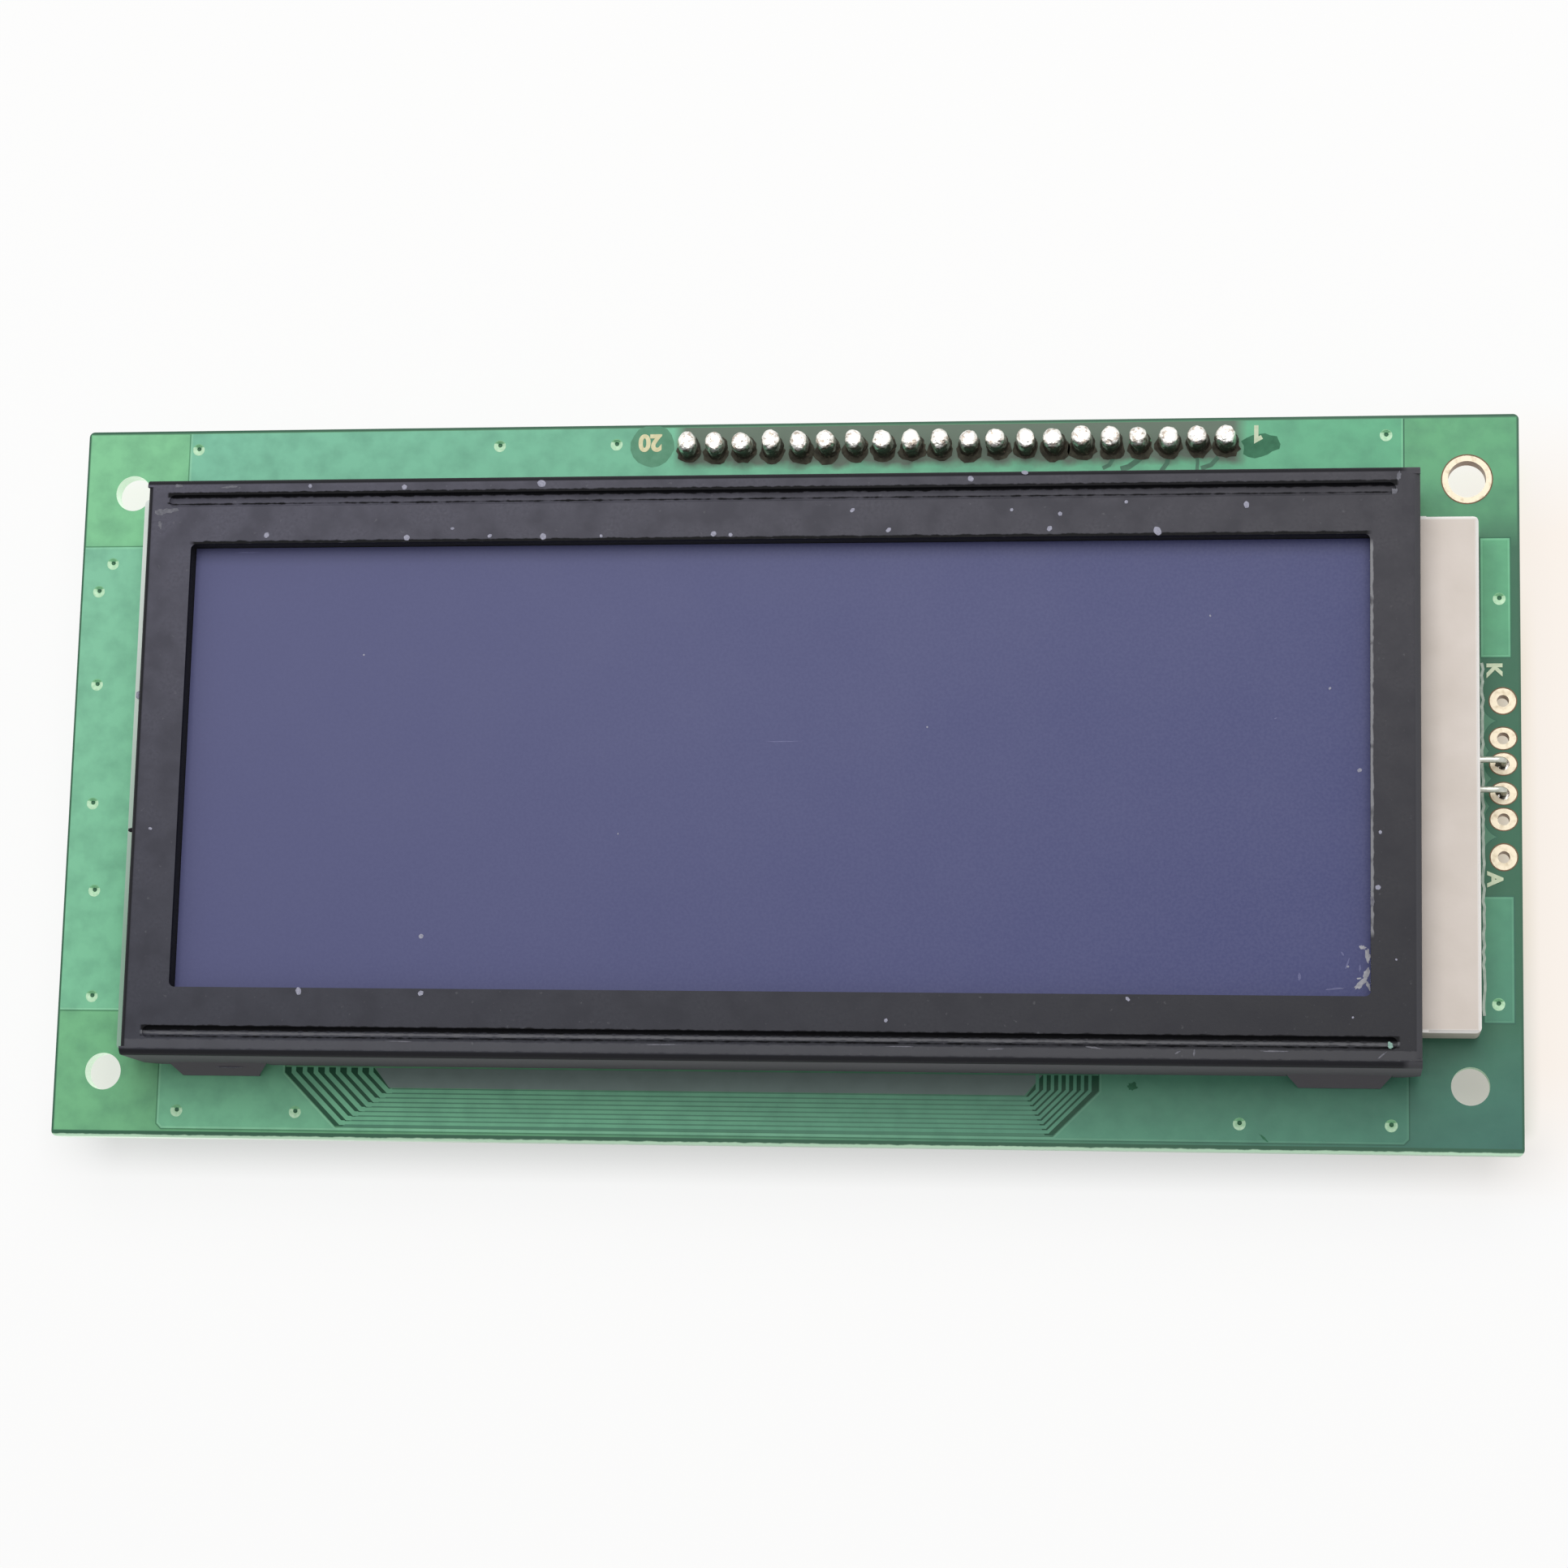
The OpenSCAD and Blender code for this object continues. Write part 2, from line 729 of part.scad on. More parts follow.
module leds() {
    color([0.95, 0.9, 0.6])
        for (i = [0 : led_count - 1])
            translate([led_front, display_y + (i - (led_count - 1) / 2) * led_pitch, led_mid_z])
                difference() {
                    translate([0, -led_len / 2, -led_h / 2]) cube([led_depth, led_len, led_h]);
                    translate([-cut, led_rim - led_len / 2, led_rim - led_h / 2])
                        cube([cut + led_rim, led_len - 2 * led_rim, led_h - 2 * led_rim]);
                }
}

// Wire from the strip board out of the tail and down through its pad
module backlight_lead(side) {
    bend_x = pad_x - lead_bend_r;
    bend_z = lead_z - lead_bend_r;
    color([0.8, 0.8, 0.78])
        translate([0, side * pad_inner_y, 0]) {
            translate([led_board_back, 0, lead_z])
                rotate([0, 90, 0]) cylinder(d = lead_d, h = bend_x - led_board_back);
            translate([bend_x, 0, bend_z])
                rotate([90, 0, 0])
                    rotate_extrude(angle = 90)
                        translate([lead_bend_r, 0]) circle(d = lead_d);
            translate([pad_x, 0, rear - lead_out])
                cylinder(d = lead_d, h = bend_z - rear + lead_out);
        }
}

module anode_lead() {
    backlight_lead(-1);
}

module cathode_lead() {
    backlight_lead(1);
}

module lead_solder() {
    color([0.75, 0.75, 0.75])
        for (s = [-1, 1])
            translate([pad_x, s * pad_inner_y, rear - lead_out])
                difference() {
                    cylinder(d1 = lead_d + 2 * lead_fillet_end, d2 = lead_d + 2 * lead_fillet,
                        h = lead_out);
                    translate([0, 0, -cut]) cylinder(d = lead_d, h = lead_out + 2 * cut);
                }
}

// Pin header

// Square pin with pointed ends
module header_pin() {
    top = pin_tail;
    bottom = rear - header_h - pin_reach;
    intersection() {
        along_x(pin_w) pin_outline(top, bottom);
        along_y(pin_w) pin_outline(top, bottom);
    }
}

// Side view of a pin
module pin_outline(top, bottom) {
    tip = pin_tip_w / 2;
    polygon([
        [-pin_w / 2, bottom + pin_point], [-tip, bottom], [tip, bottom], [pin_w / 2, bottom + pin_point],
        [pin_w / 2, top - pin_point], [tip, top], [-tip, top], [-pin_w / 2, top - pin_point]
    ]);
}

module header_pins() {
    color([0.85, 0.75, 0.5])
        for (i = [0 : pin_count - 1])
            translate([pin_x(i), header_y, 0]) header_pin();
}

// Moulded strip of beveled segments, one to a pin
module header_body() {
    half_x = pin_pitch / 2;
    half_y = header_depth / 2;
    color([0.08, 0.08, 0.09])
        translate([0, header_y, rear - header_h])
            linear_extrude(height = header_h)
                for (i = [0 : pin_count - 1])
                    translate([pin_x(i), 0])
                        difference() {
                            polygon([
                                [-half_x, header_bevel - half_y], [header_bevel - half_x, -half_y],
                                [half_x - header_bevel, -half_y], [half_x, header_bevel - half_y],
                                [half_x, half_y - header_bevel], [half_x - header_bevel, half_y],
                                [header_bevel - half_x, half_y], [-half_x, half_y - header_bevel]
                            ]);
                            square(pin_w, center = true);
                        }
}

// Half section of a solder joint: round cap, straight side, hollow foot, and the filled hole
module solder_section() {
    r = solder_d / 2;
    side_top = solder_rise - r;
    translate([0, rear]) square([pin_hole_d / 2, board_t]);
    square([r, side_top]);
    intersection() {
        translate([0, side_top]) circle(r = r);
        translate([0, side_top]) square(r + cut);
    }
    difference() {
        square([r + solder_foot_r, solder_foot_r]);
        translate([r + solder_foot_r, solder_foot_r]) circle(r = solder_foot_r);
    }
}

module header_solder() {
    color([0.82, 0.82, 0.82])
        for (i = [0 : pin_count - 1])
            translate([pin_x(i), header_y, 0])
                difference() {
                    rotate_extrude() solder_section();
                    header_pin();
                }
}

// Parts on the rear face

// Resin dome, a shallow cap revolved from an arc of a large circle
module driver_dome(place) {
    color([0.06, 0.06, 0.07])
        translate([(place - (dome_count - 1) / 2) * dome_pitch, dome_y, rear])
            rotate_extrude($fn = dome_facets)
                intersection() {
                    translate([0, dome_sphere_r - dome_h]) circle(r = dome_sphere_r, $fn = dome_facets);
                    translate([0, -dome_h]) square([dome_d, dome_h]);
                }
}

module row_driver() {
    driver_dome(0);
}

module column_driver_left() {
    driver_dome(1);
}

module column_driver_middle() {
    driver_dome(2);
}

module column_driver_right() {
    driver_dome(3);
}

// Leg in Y and Z: out of the body, down and along the board
module leg_section() {
    exit_z = -package_gap - package_h / 2;
    knee = (leg_reach - leg_foot) / 2 + leg_t / 2;
    translate([0, exit_z - leg_t / 2]) square([knee, leg_t]);
    polygon([
        [knee - leg_t, exit_z + leg_t / 2], [knee - leg_t, exit_z - leg_t / 2], [knee, exit_z - leg_t / 2],
        [leg_reach - leg_foot + leg_t, -leg_t], [leg_reach - leg_foot + leg_t, 0], [leg_reach - leg_foot, 0]
    ]);
    translate([leg_reach - leg_foot, -leg_t]) square([leg_foot, leg_t]);
}

// Small outline package with legs on both long sides, hanging from z = 0
module outline_package(legs_per_side) {
    len = legs_per_side * leg_pitch;
    along_x(len)
        polygon([
            [package_slope - package_depth / 2, -package_gap],
            [package_depth / 2 - package_slope, -package_gap],
            [package_depth / 2, -package_gap - package_h / 2],
            [package_depth / 2 - package_slope, -package_gap - package_h],
            [package_slope - package_depth / 2, -package_gap - package_h],
            [-package_depth / 2, -package_gap - package_h / 2]
        ]);
    for (s = [0, 1], i = [0 : legs_per_side - 1])
        mirror([0, s, 0])
            translate([(i - (legs_per_side - 1) / 2) * leg_pitch, package_depth / 2 - package_slope, 0])
                along_x(leg_w) leg_section();
}

module bias_amplifier() {
    color([0.1, 0.1, 0.11])
        translate([-dome_pitch / 2, package_y, rear]) outline_package(amplifier_legs);
}

module voltage_converter() {
    color([0.1, 0.1, 0.11])
        translate([dome_pitch / 2, package_y, rear]) outline_package(converter_legs);
}

// Row of chip parts on the rear face, each with a metal terminal at both ends
module chip_row(count, x, y, h) {
    for (i = [0 : count - 1])
        translate([x + (i - (count - 1) / 2) * chip_pitch, y, rear])
            along_x(chip_w)
                polygon([
                    [-chip_len / 2, 0], [chip_len / 2, 0], [chip_len / 2, -h],
                    [chip_len / 2 - terminal_len, -h], [chip_len / 2 - terminal_len, terminal_t - h],
                    [terminal_len - chip_len / 2, terminal_t - h], [terminal_len - chip_len / 2, -h],
                    [-chip_len / 2, -h]
                ]);
}

module chip_resistors() {
    color([0.15, 0.15, 0.16]) chip_row(resistor_count, -dome_pitch / 2, resistor_y, resistor_h);
}

module chip_capacitors() {
    color([0.6, 0.48, 0.36]) chip_row(capacitor_count, dome_pitch / 2, capacitor_y, capacitor_h);
}

pcb();
mount_ring();
backlight_pads();
vias();
bezel();
bezel_gasket();
front_polariser();
front_glass();
rear_glass();
rear_polariser();
upper_zebra_strip();
lower_zebra_strip();
backlight_housing();
diffuser_film();
light_guide();
reflector_film();
led_board();
leds();
anode_lead();
cathode_lead();
lead_solder();
header_body();
header_pins();
header_solder();
row_driver();
column_driver_left();
column_driver_middle();
column_driver_right();
bias_amplifier();
voltage_converter();
chip_resistors();
chip_capacitors();
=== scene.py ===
"""Blue graphic LCD module: black bezel, green board, white backlight tail and a soldered pin header.

Lengths in this file are millimetres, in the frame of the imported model: the origin is the middle of the
corner holes on the board's front face, +Z looks out of the display. A finished piece is scaled to metres.
"""

import logging
import math
import random
from dataclasses import dataclass, field
from enum import Enum
from functools import partial, reduce
from typing import Dict, Iterable, Sequence, Tuple, Union

import bmesh
import bpy
from bmesh.types import BMesh, BMFace, BMVert
from mathutils import Matrix, Vector, noise


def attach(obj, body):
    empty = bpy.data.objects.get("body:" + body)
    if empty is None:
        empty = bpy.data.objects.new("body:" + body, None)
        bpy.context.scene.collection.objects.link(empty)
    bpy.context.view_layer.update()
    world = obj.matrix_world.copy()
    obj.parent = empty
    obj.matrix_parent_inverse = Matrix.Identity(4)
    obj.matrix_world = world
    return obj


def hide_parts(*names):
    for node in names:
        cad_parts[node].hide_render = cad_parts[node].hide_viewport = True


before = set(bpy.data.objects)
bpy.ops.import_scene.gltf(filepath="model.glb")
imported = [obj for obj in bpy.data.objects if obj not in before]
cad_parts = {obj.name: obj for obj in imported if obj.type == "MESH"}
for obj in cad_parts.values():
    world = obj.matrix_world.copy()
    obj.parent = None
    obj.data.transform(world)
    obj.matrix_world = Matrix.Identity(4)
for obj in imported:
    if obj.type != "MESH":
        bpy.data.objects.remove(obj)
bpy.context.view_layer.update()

Place = Tuple[float, float]
Range = Tuple[float, float]
Round = Tuple[Place, float]
Patch = Tuple[float, float, float, float, float]
Box = Tuple[float, float, float, float]
Outline = Sequence[Place]
Triple = Tuple[float, float, float]
Colour = Triple
Socket = bpy.types.NodeSocket
Number = Union[float, Socket]
Tint = Union[Colour, Socket]
Value = Union[Number, Tint, Sequence[float]]

MM = 0.001
BODY = "root"
log = logging.getLogger("lcd_module")


def srgb(*channels: float) -> Colour:
    """Turn a screen colour of 0 to 255 into the linear colour that shaders take."""
    return tuple(v / 255 / 12.92 if v <= 10 else ((v / 255 + 0.055) / 1.055) ** 2.4 for v in channels)


class Axis(Enum):
    """Axes of the board."""

    X = (1.0, 0.0, 0.0)
    Y = (0.0, 1.0, 0.0)
    Z = (0.0, 0.0, 1.0)
    CORNER_TO_CORNER = (0.86, -0.51, 0.0)


class Nodes:
    """Adds linked nodes to a node tree."""

    def __init__(self, tree: bpy.types.NodeTree) -> None:
        """Work on a tree."""
        self.nodes = tree.nodes
        self.links = tree.links

    def put(self, socket: Socket, value: Value) -> None:
        """Give an input socket a link, a number or a colour."""
        if isinstance(value, Socket):
            self.links.new(value, socket)
        elif isinstance(value, tuple) and socket.type == "RGBA":
            socket.default_value = (*value, 1.0)
        else:
            socket.default_value = value

    def add(self, kind: str, inputs: Dict[Union[int, str], Value], **settings: str) -> bpy.types.Node:
        """Add a node.

        Args:
            kind: Blender's name of the node, without ShaderNode.
            inputs: value of each input, by its name or number.
            settings: properties that are set before the inputs.

        Returns:
            The new node.
        """
        node = self.nodes.new(f"ShaderNode{kind}")
        for name, value in settings.items():
            setattr(node, name, value)
        for socket, value in inputs.items():
            self.put(node.inputs[socket], value)
        return node

    def math(self, operation: str, first: Number, second: Number = 0.0) -> Socket:
        """Combine two numbers by Blender's name of the operation."""
        return self.add("Math", {0: first, 1: second}, operation=operation).outputs[0]

    def times(self, *values: Number) -> Socket:
        """Product of the values."""
        return reduce(partial(self.math, "MULTIPLY"), values)

    def total(self, *values: Number) -> Socket:
        """Sum of the values."""
        return reduce(partial(self.math, "ADD"), values)

    def most(self, *values: Number) -> Socket:
        """Greatest of the values."""
        return reduce(partial(self.math, "MAXIMUM"), values)

    def linear(self, value: Socket, gain: float, start: float) -> Socket:
        """The value times a gain, from a start."""
        return self.total(self.times(value, gain), start)

    def seen(self) -> Socket:
        """1 where the camera looks, straight or by way of metal and glass."""
        path = self.add("LightPath", {}).outputs
        return self.most(path["Is Camera Ray"], path["Is Glossy Ray"], path["Is Transmission Ray"])


class Shader(Nodes):
    """Builds one procedural material around a Principled shader, in Object coordinates."""

    def __init__(self, name: str) -> None:
        """Start a material with a plain Principled shader."""
        self.material = bpy.data.materials.new(name)
        self.material.use_nodes = True
        super().__init__(self.material.node_tree)
        self.principled = self.nodes["Principled BSDF"]
        self.point = self.add("TexCoord", {}).outputs["Object"]

    def dress(self, **inputs: Value) -> None:
        """Set the Principled shader's inputs, named in lower case with underscores."""
        for name, value in inputs.items():
            self.put(self.principled.inputs[name.replace("_", " ").title().replace("Ior", "IOR")], value)

    def mix(self, factor: Number, first: Tint, second: Tint) -> Socket:
        """Blend two colours, from the first at factor 0 to the second at 1."""
        return self.add("Mix", {"Factor": factor, 6: first, 7: second}, data_type="RGBA").outputs[2]

    def noise(self, size: float, detail: float = 2.0, stretch: Colour = (1.0, 1.0, 1.0)) -> Socket:
        """Cloudy pattern of 0 to 1.

        Args:
            size: size of its clouds in millimetres.
            detail: octaves of finer clouds.
            stretch: scale of the pattern along X, Y and Z.

        Returns:
            The pattern's socket.
        """
        mapping = self.add("Mapping", {"Vector": self.point, "Scale": stretch})
        inputs = {"Vector": mapping.outputs["Vector"], "Scale": 1 / (size * MM), "Detail": detail}
        return self.add("TexNoise", inputs).outputs["Fac"]

    def span(self, value: Socket, low: float, high: float) -> Socket:
        """Map low to high onto 0 to 1, clamped."""
        return self.add("MapRange", {"Value": value, "From Min": low, "From Max": high}).outputs["Result"]

    def patches(self, size: float, detail: float, low: float, high: float) -> Socket:
        """Clouds of a size in millimetres, with low to high spread over 0 to 1."""
        return self.span(self.noise(size, detail), low, high)

    def wave(self, size: float, swing: float) -> Socket:
        """Cloudy offset round 0, with a swing of so many millimetres."""
        return self.times(self.math("SUBTRACT", self.noise(size, 3.0), 0.5), swing)

    def dot(self, vector: Socket, way: Sequence[float]) -> Socket:
        """Part of a vector along a way."""
        return self.add("VectorMath", {0: vector, 1: way}, operation="DOT_PRODUCT").outputs["Value"]

    def along(self, axis: Axis) -> Socket:
        """Distance along an axis, in millimetres."""
        return self.dot(self.point, [part / MM for part in axis.value])

    def off(self, axis: Axis, centre: float) -> Socket:
        """Distance from a plane across an axis, in millimetres."""
        return self.math("ABSOLUTE", self.math("SUBTRACT", self.along(axis), centre))

    def ramp(self, axis: Axis, low: float, high: float) -> Socket:
        """0 to 1 between two places along an axis, clamped."""
        return self.span(self.along(axis), low, high)

    def ramp_off(self, axis: Axis, centre: float, low: float, high: float) -> Socket:
        """0 to 1 between two distances from a plane across an axis, clamped."""
        return self.span(self.off(axis, centre), low, high)

    def facing(self, axis: Axis) -> Socket:
        """How squarely the surface looks along an axis, from -1 to 1."""
        return self.dot(self.add("NewGeometry", {}).outputs["Normal"], axis.value)

    def upright(self) -> Socket:
        """1 on faces that look along Z, 0 on cut edges and barrels."""
        return self.span(self.math("ABSOLUTE", self.facing(Axis.Z)), 0.4, 0.6)

    def corners(self, half: Place, top: Sequence[Colour], low: Sequence[Colour]) -> Socket:
        """Blend of four corner colours across a rectangle.

        Args:
            half: half of its width and height.
            top: colours at the top left and top right.
            low: colours at the lower left and lower right.

        Returns:
            The colour's socket.
        """
        across = self.ramp(Axis.X, -half[0], half[0])
        up = self.ramp(Axis.Y, -half[1], half[1])
        return self.mix(up, self.mix(across, *low), self.mix(across, *top))

    def bump(self, height: Socket, depth: float) -> None:
        """Raise the surface by a pattern, depth in millimetres."""
        self.dress(normal=self.add("Bump", {"Height": height, "Distance": depth * MM}).outputs["Normal"])


@dataclass(frozen=True)
class Finish:
    """Surface of a piece: a name and the way it is painted."""

    name: str

    def paint(self, shader: Shader) -> None:
        """Add this finish's nodes to a shader."""
        raise NotImplementedError

    def material(self) -> bpy.types.Material:
        """The finish's material, made once."""
        found = bpy.data.materials.get(f"{self.name}_finish")
        if found is None:
            shader = Shader(f"{self.name}_finish")
            self.paint(shader)
            found = shader.material
        return found


@dataclass(frozen=True)
class SolderMask(Finish):
    """Green lacquer on the board, with its own colour towards each corner; the corner colours carry painted
    light, brighter at the top left and darker at the lower right.
    """

    top_left: Colour
    top_right: Colour
    low_left: Colour
    low_right: Colour
    gloss: float = 0.34
    half_w: float = 65.0
    half_h: float = 32.5
    cloud_share: float = 0.3
    cloud_shade: float = 0.72

    def base(self, shader: Shader) -> Socket:
        """The lacquer's colour across the board, with painted light from the corner colours and faint clouds.
        """
        # Painted light: the corner colours brighten the lacquer towards the top left and darken it towards
        # the lower right.
        even = shader.corners((self.half_w, self.half_h), (self.top_left, self.top_right),
                              (self.low_left, self.low_right))
        clouds = shader.times(shader.patches(size=2.2, detail=4.0, low=0.4, high=0.75), self.cloud_share)
        return shader.mix(clouds, even, tuple(self.cloud_shade * part for part in self.low_right))

    def polish(self, shader: Shader) -> None:
        """Give the lacquer its slightly uneven gloss."""
        shader.dress(ior=1.5, specular_ior_level=0.15)
        shader.dress(roughness=shader.linear(shader.noise(size=1.2), gain=0.16, start=self.gloss - 0.08))
        shader.bump(shader.noise(size=0.5, detail=3.0), depth=0.006)

    def paint(self, shader: Shader) -> None:
        """Coloured lacquer with its gloss."""
        shader.dress(base_color=self.base(shader))
        self.polish(shader)


@dataclass(frozen=True)
class BoardMask(SolderMask):
    """Lacquer of the bare board, with a rim of painted shade beside its cut edges, the laminate on them and a
    painted glow on its cut walls towards the left.
    """

    # Colour of the painted shade rim along the cut edges.
    rim: Colour = srgb(58, 100, 78)
    laminate: Colour = srgb(190, 226, 196)
    painted_tail_shade: Colour = srgb(60, 108, 84)
    rim_w: float = 0.26
    top_rim: float = 0.36
    low_rim: float = 0.6
    strip_x: Range = (60.6, 61.8)
    strip_y: Range = (25.0, 20.5)
    end_x: Range = (55.5, 57.5)
    end_y: Range = (28.0, 22.0)
    end_share: float = 0.4
    pale_line: Range = (0.26, 0.16)
    pale_wave: float = 0.2
    fibre: float = 0.3
    fibre_lift: float = 1.12
    # Painted glow: the cut walls towards the left give off light of their own.
    glow: Colour = (1.0, 1.0, 0.94)
    glow_x: Range = (-20.0, -55.0)
    glow_strength: float = 0.34

    def base(self, shader: Shader) -> Socket:
        """The lacquer's colour, with painted shade between the backlight's tail and the right edge and beside
        the tail's ends.
        """
        # Painted shade that the backlight's tail casts on the lacquer beside it.
        strip = shader.times(shader.ramp(Axis.X, *self.strip_x), shader.ramp_off(Axis.Y, 0.0, *self.strip_y))
        ends = shader.times(shader.ramp(Axis.X, *self.end_x), shader.ramp_off(Axis.Y, 0.0, *self.end_y))
        shade = shader.most(strip, shader.times(ends, self.end_share))
        return shader.mix(shade, super().base(shader), self.painted_tail_shade)

    def paint(self, shader: Shader) -> None:
        """Lacquer, a rim line of painted shade and cut laminate, which shows as a pale line along the lower
        edge; cut walls towards the left get a painted glow.
        """
        self.polish(shader)
        # Painted shade: a darker rim along the board's cut edges.
        line = shader.most(
            shader.ramp_off(Axis.X, 0.0, self.half_w - self.rim_w, self.half_w - 0.5 * self.rim_w),
            shader.ramp(Axis.Y, self.half_h - self.top_rim, self.half_h - 0.5 * self.top_rim),
            shader.ramp(Axis.Y, self.low_rim - self.half_h, 0.85 * self.low_rim - self.half_h),
        )
        lacquer = shader.mix(line, self.base(shader), self.rim)
        edge = shader.total(shader.along(Axis.Y), shader.wave(size=0.8, swing=self.pale_wave))
        lower = shader.span(edge, *(part - self.half_h for part in self.pale_line))
        lacquer = shader.mix(lower, lacquer, self.laminate)
        fibres = shader.noise(size=self.fibre, stretch=(1.0, 1.0, 4.0))
        pale = tuple(min(1.0, self.fibre_lift * part) for part in self.laminate)
        cut = shader.mix(fibres, self.laminate, pale)
        shader.dress(base_color=shader.mix(shader.upright(), cut, lacquer), emission_color=self.glow)
        # Painted glow on the cut walls, stronger towards the left.
        wall = shader.math("SUBTRACT", 1.0, shader.upright())
        glow = shader.times(wall, shader.ramp(Axis.X, *self.glow_x), self.glow_strength)
        shader.dress(emission_strength=glow)


@dataclass(frozen=True)
class FluxedMask(SolderMask):
    """Lacquer on copper with a grey haze of flux round the row of solder joints."""

    haze: Colour = srgb(98, 114, 100)
    left: float = -10.2
    right: float = 41.4
    fade: float = 1.2
    foot: Range = (29.0, 29.7)
    ragged: float = 1.6

    def base(self, shader: Shader) -> Socket:
        """Lacquer under a cloudy haze with soft ends."""
        row = shader.times(shader.ramp(Axis.X, self.left, self.left + self.fade),
                           shader.ramp(Axis.X, self.right, self.right - self.fade))
        ragged = shader.times(shader.noise(size=2.0, detail=3.0), self.ragged)
        depth = shader.span(shader.total(shader.along(Axis.Y), ragged), *self.foot)
        return shader.mix(shader.times(row, depth), super().base(shader), self.haze)


@dataclass(frozen=True)
class Metal(Finish):
    """Bright or dull metal with a grain."""

    tint: Colour
    shade: Colour
    roughness: float = 0.3
    grain: float = 0.4
    depth: float = 0.004

    def paint(self, shader: Shader) -> None:
        """Metal whose colour and polish vary with its grain."""
        grain = shader.patches(size=self.grain, detail=3.0, low=0.3, high=0.7)
        shader.dress(base_color=shader.mix(grain, self.tint, self.shade), metallic=1.0)
        shader.dress(roughness=shader.linear(grain, gain=0.15, start=self.roughness))
        shader.bump(shader.noise(0.5 * self.grain), self.depth)


@dataclass(frozen=True)
class Plating(Finish):
    """Plated land with its barrel painted darker as shade inside the hole."""

    land: Colour
    stain: Colour
    barrel: Colour
    metallic: float = 0.6

    def paint(self, shader: Shader) -> None:
        """Land with faint stains, and the barrel's painted shade on upright walls."""
        stains = shader.patches(size=0.6, detail=3.0, low=0.5, high=0.75)
        flat = shader.mix(stains, self.land, self.stain)
        shader.dress(base_color=shader.mix(shader.upright(), self.barrel, flat))
        shader.dress(metallic=self.metallic, specular_ior_level=0.2)
        shader.dress(roughness=shader.linear(stains, gain=0.2, start=0.3))
        shader.bump(shader.noise(size=0.3), depth=0.004)


@dataclass(frozen=True)
class ScorchedAndShadedSolder(Finish):
    """Solder lump with a bright craggy top and dark brown on its lower flank and round its foot: scorched
    flux, and on the flank that faces away from the light also painted shade.
    """

    bright: Colour = srgb(252, 250, 244)
    cream: Colour = srgb(196, 184, 172)
    scorch_and_shade: Colour = srgb(66, 60, 52)
    dark_brown: Colour = srgb(122, 110, 96)
    foot: Range = (1.0, 0.7)
    flank: Range = (-0.62, -0.82)
    sideways: float = -0.2

    def paint(self, shader: Shader) -> None:
        """Bright where it looks up or to the rear; dark brown elsewhere, partly scorched flux and partly
        painted shade, with a ragged border.
        """
        crags = shader.wave(size=0.55, swing=1.0)
        lean = shader.times(shader.facing(Axis.X), self.sideways)
        # Painted shade, partly scorched flux: the flank that faces away from the light is dark.
        side = shader.span(shader.total(shader.facing(Axis.Y), crags, lean), *self.flank)
        height = shader.total(shader.along(Axis.Z), shader.times(crags, 0.8))
        dark = shader.most(side, shader.span(height, *self.foot))
        top = shader.mix(shader.patches(size=0.45, detail=3.0, low=0.5, high=0.62), self.bright, self.cream)
        low = shader.mix(shader.patches(size=0.3, detail=3.0, low=0.55, high=0.7), self.scorch_and_shade, self.dark_brown)
        shader.dress(base_color=shader.mix(dark, top, low), metallic=shader.math("SUBTRACT", 1.0, dark))
        shader.dress(roughness=shader.linear(shader.noise(size=0.4), gain=0.3, start=0.2))
        shader.bump(shader.noise(size=0.5, detail=4.0), depth=0.2)


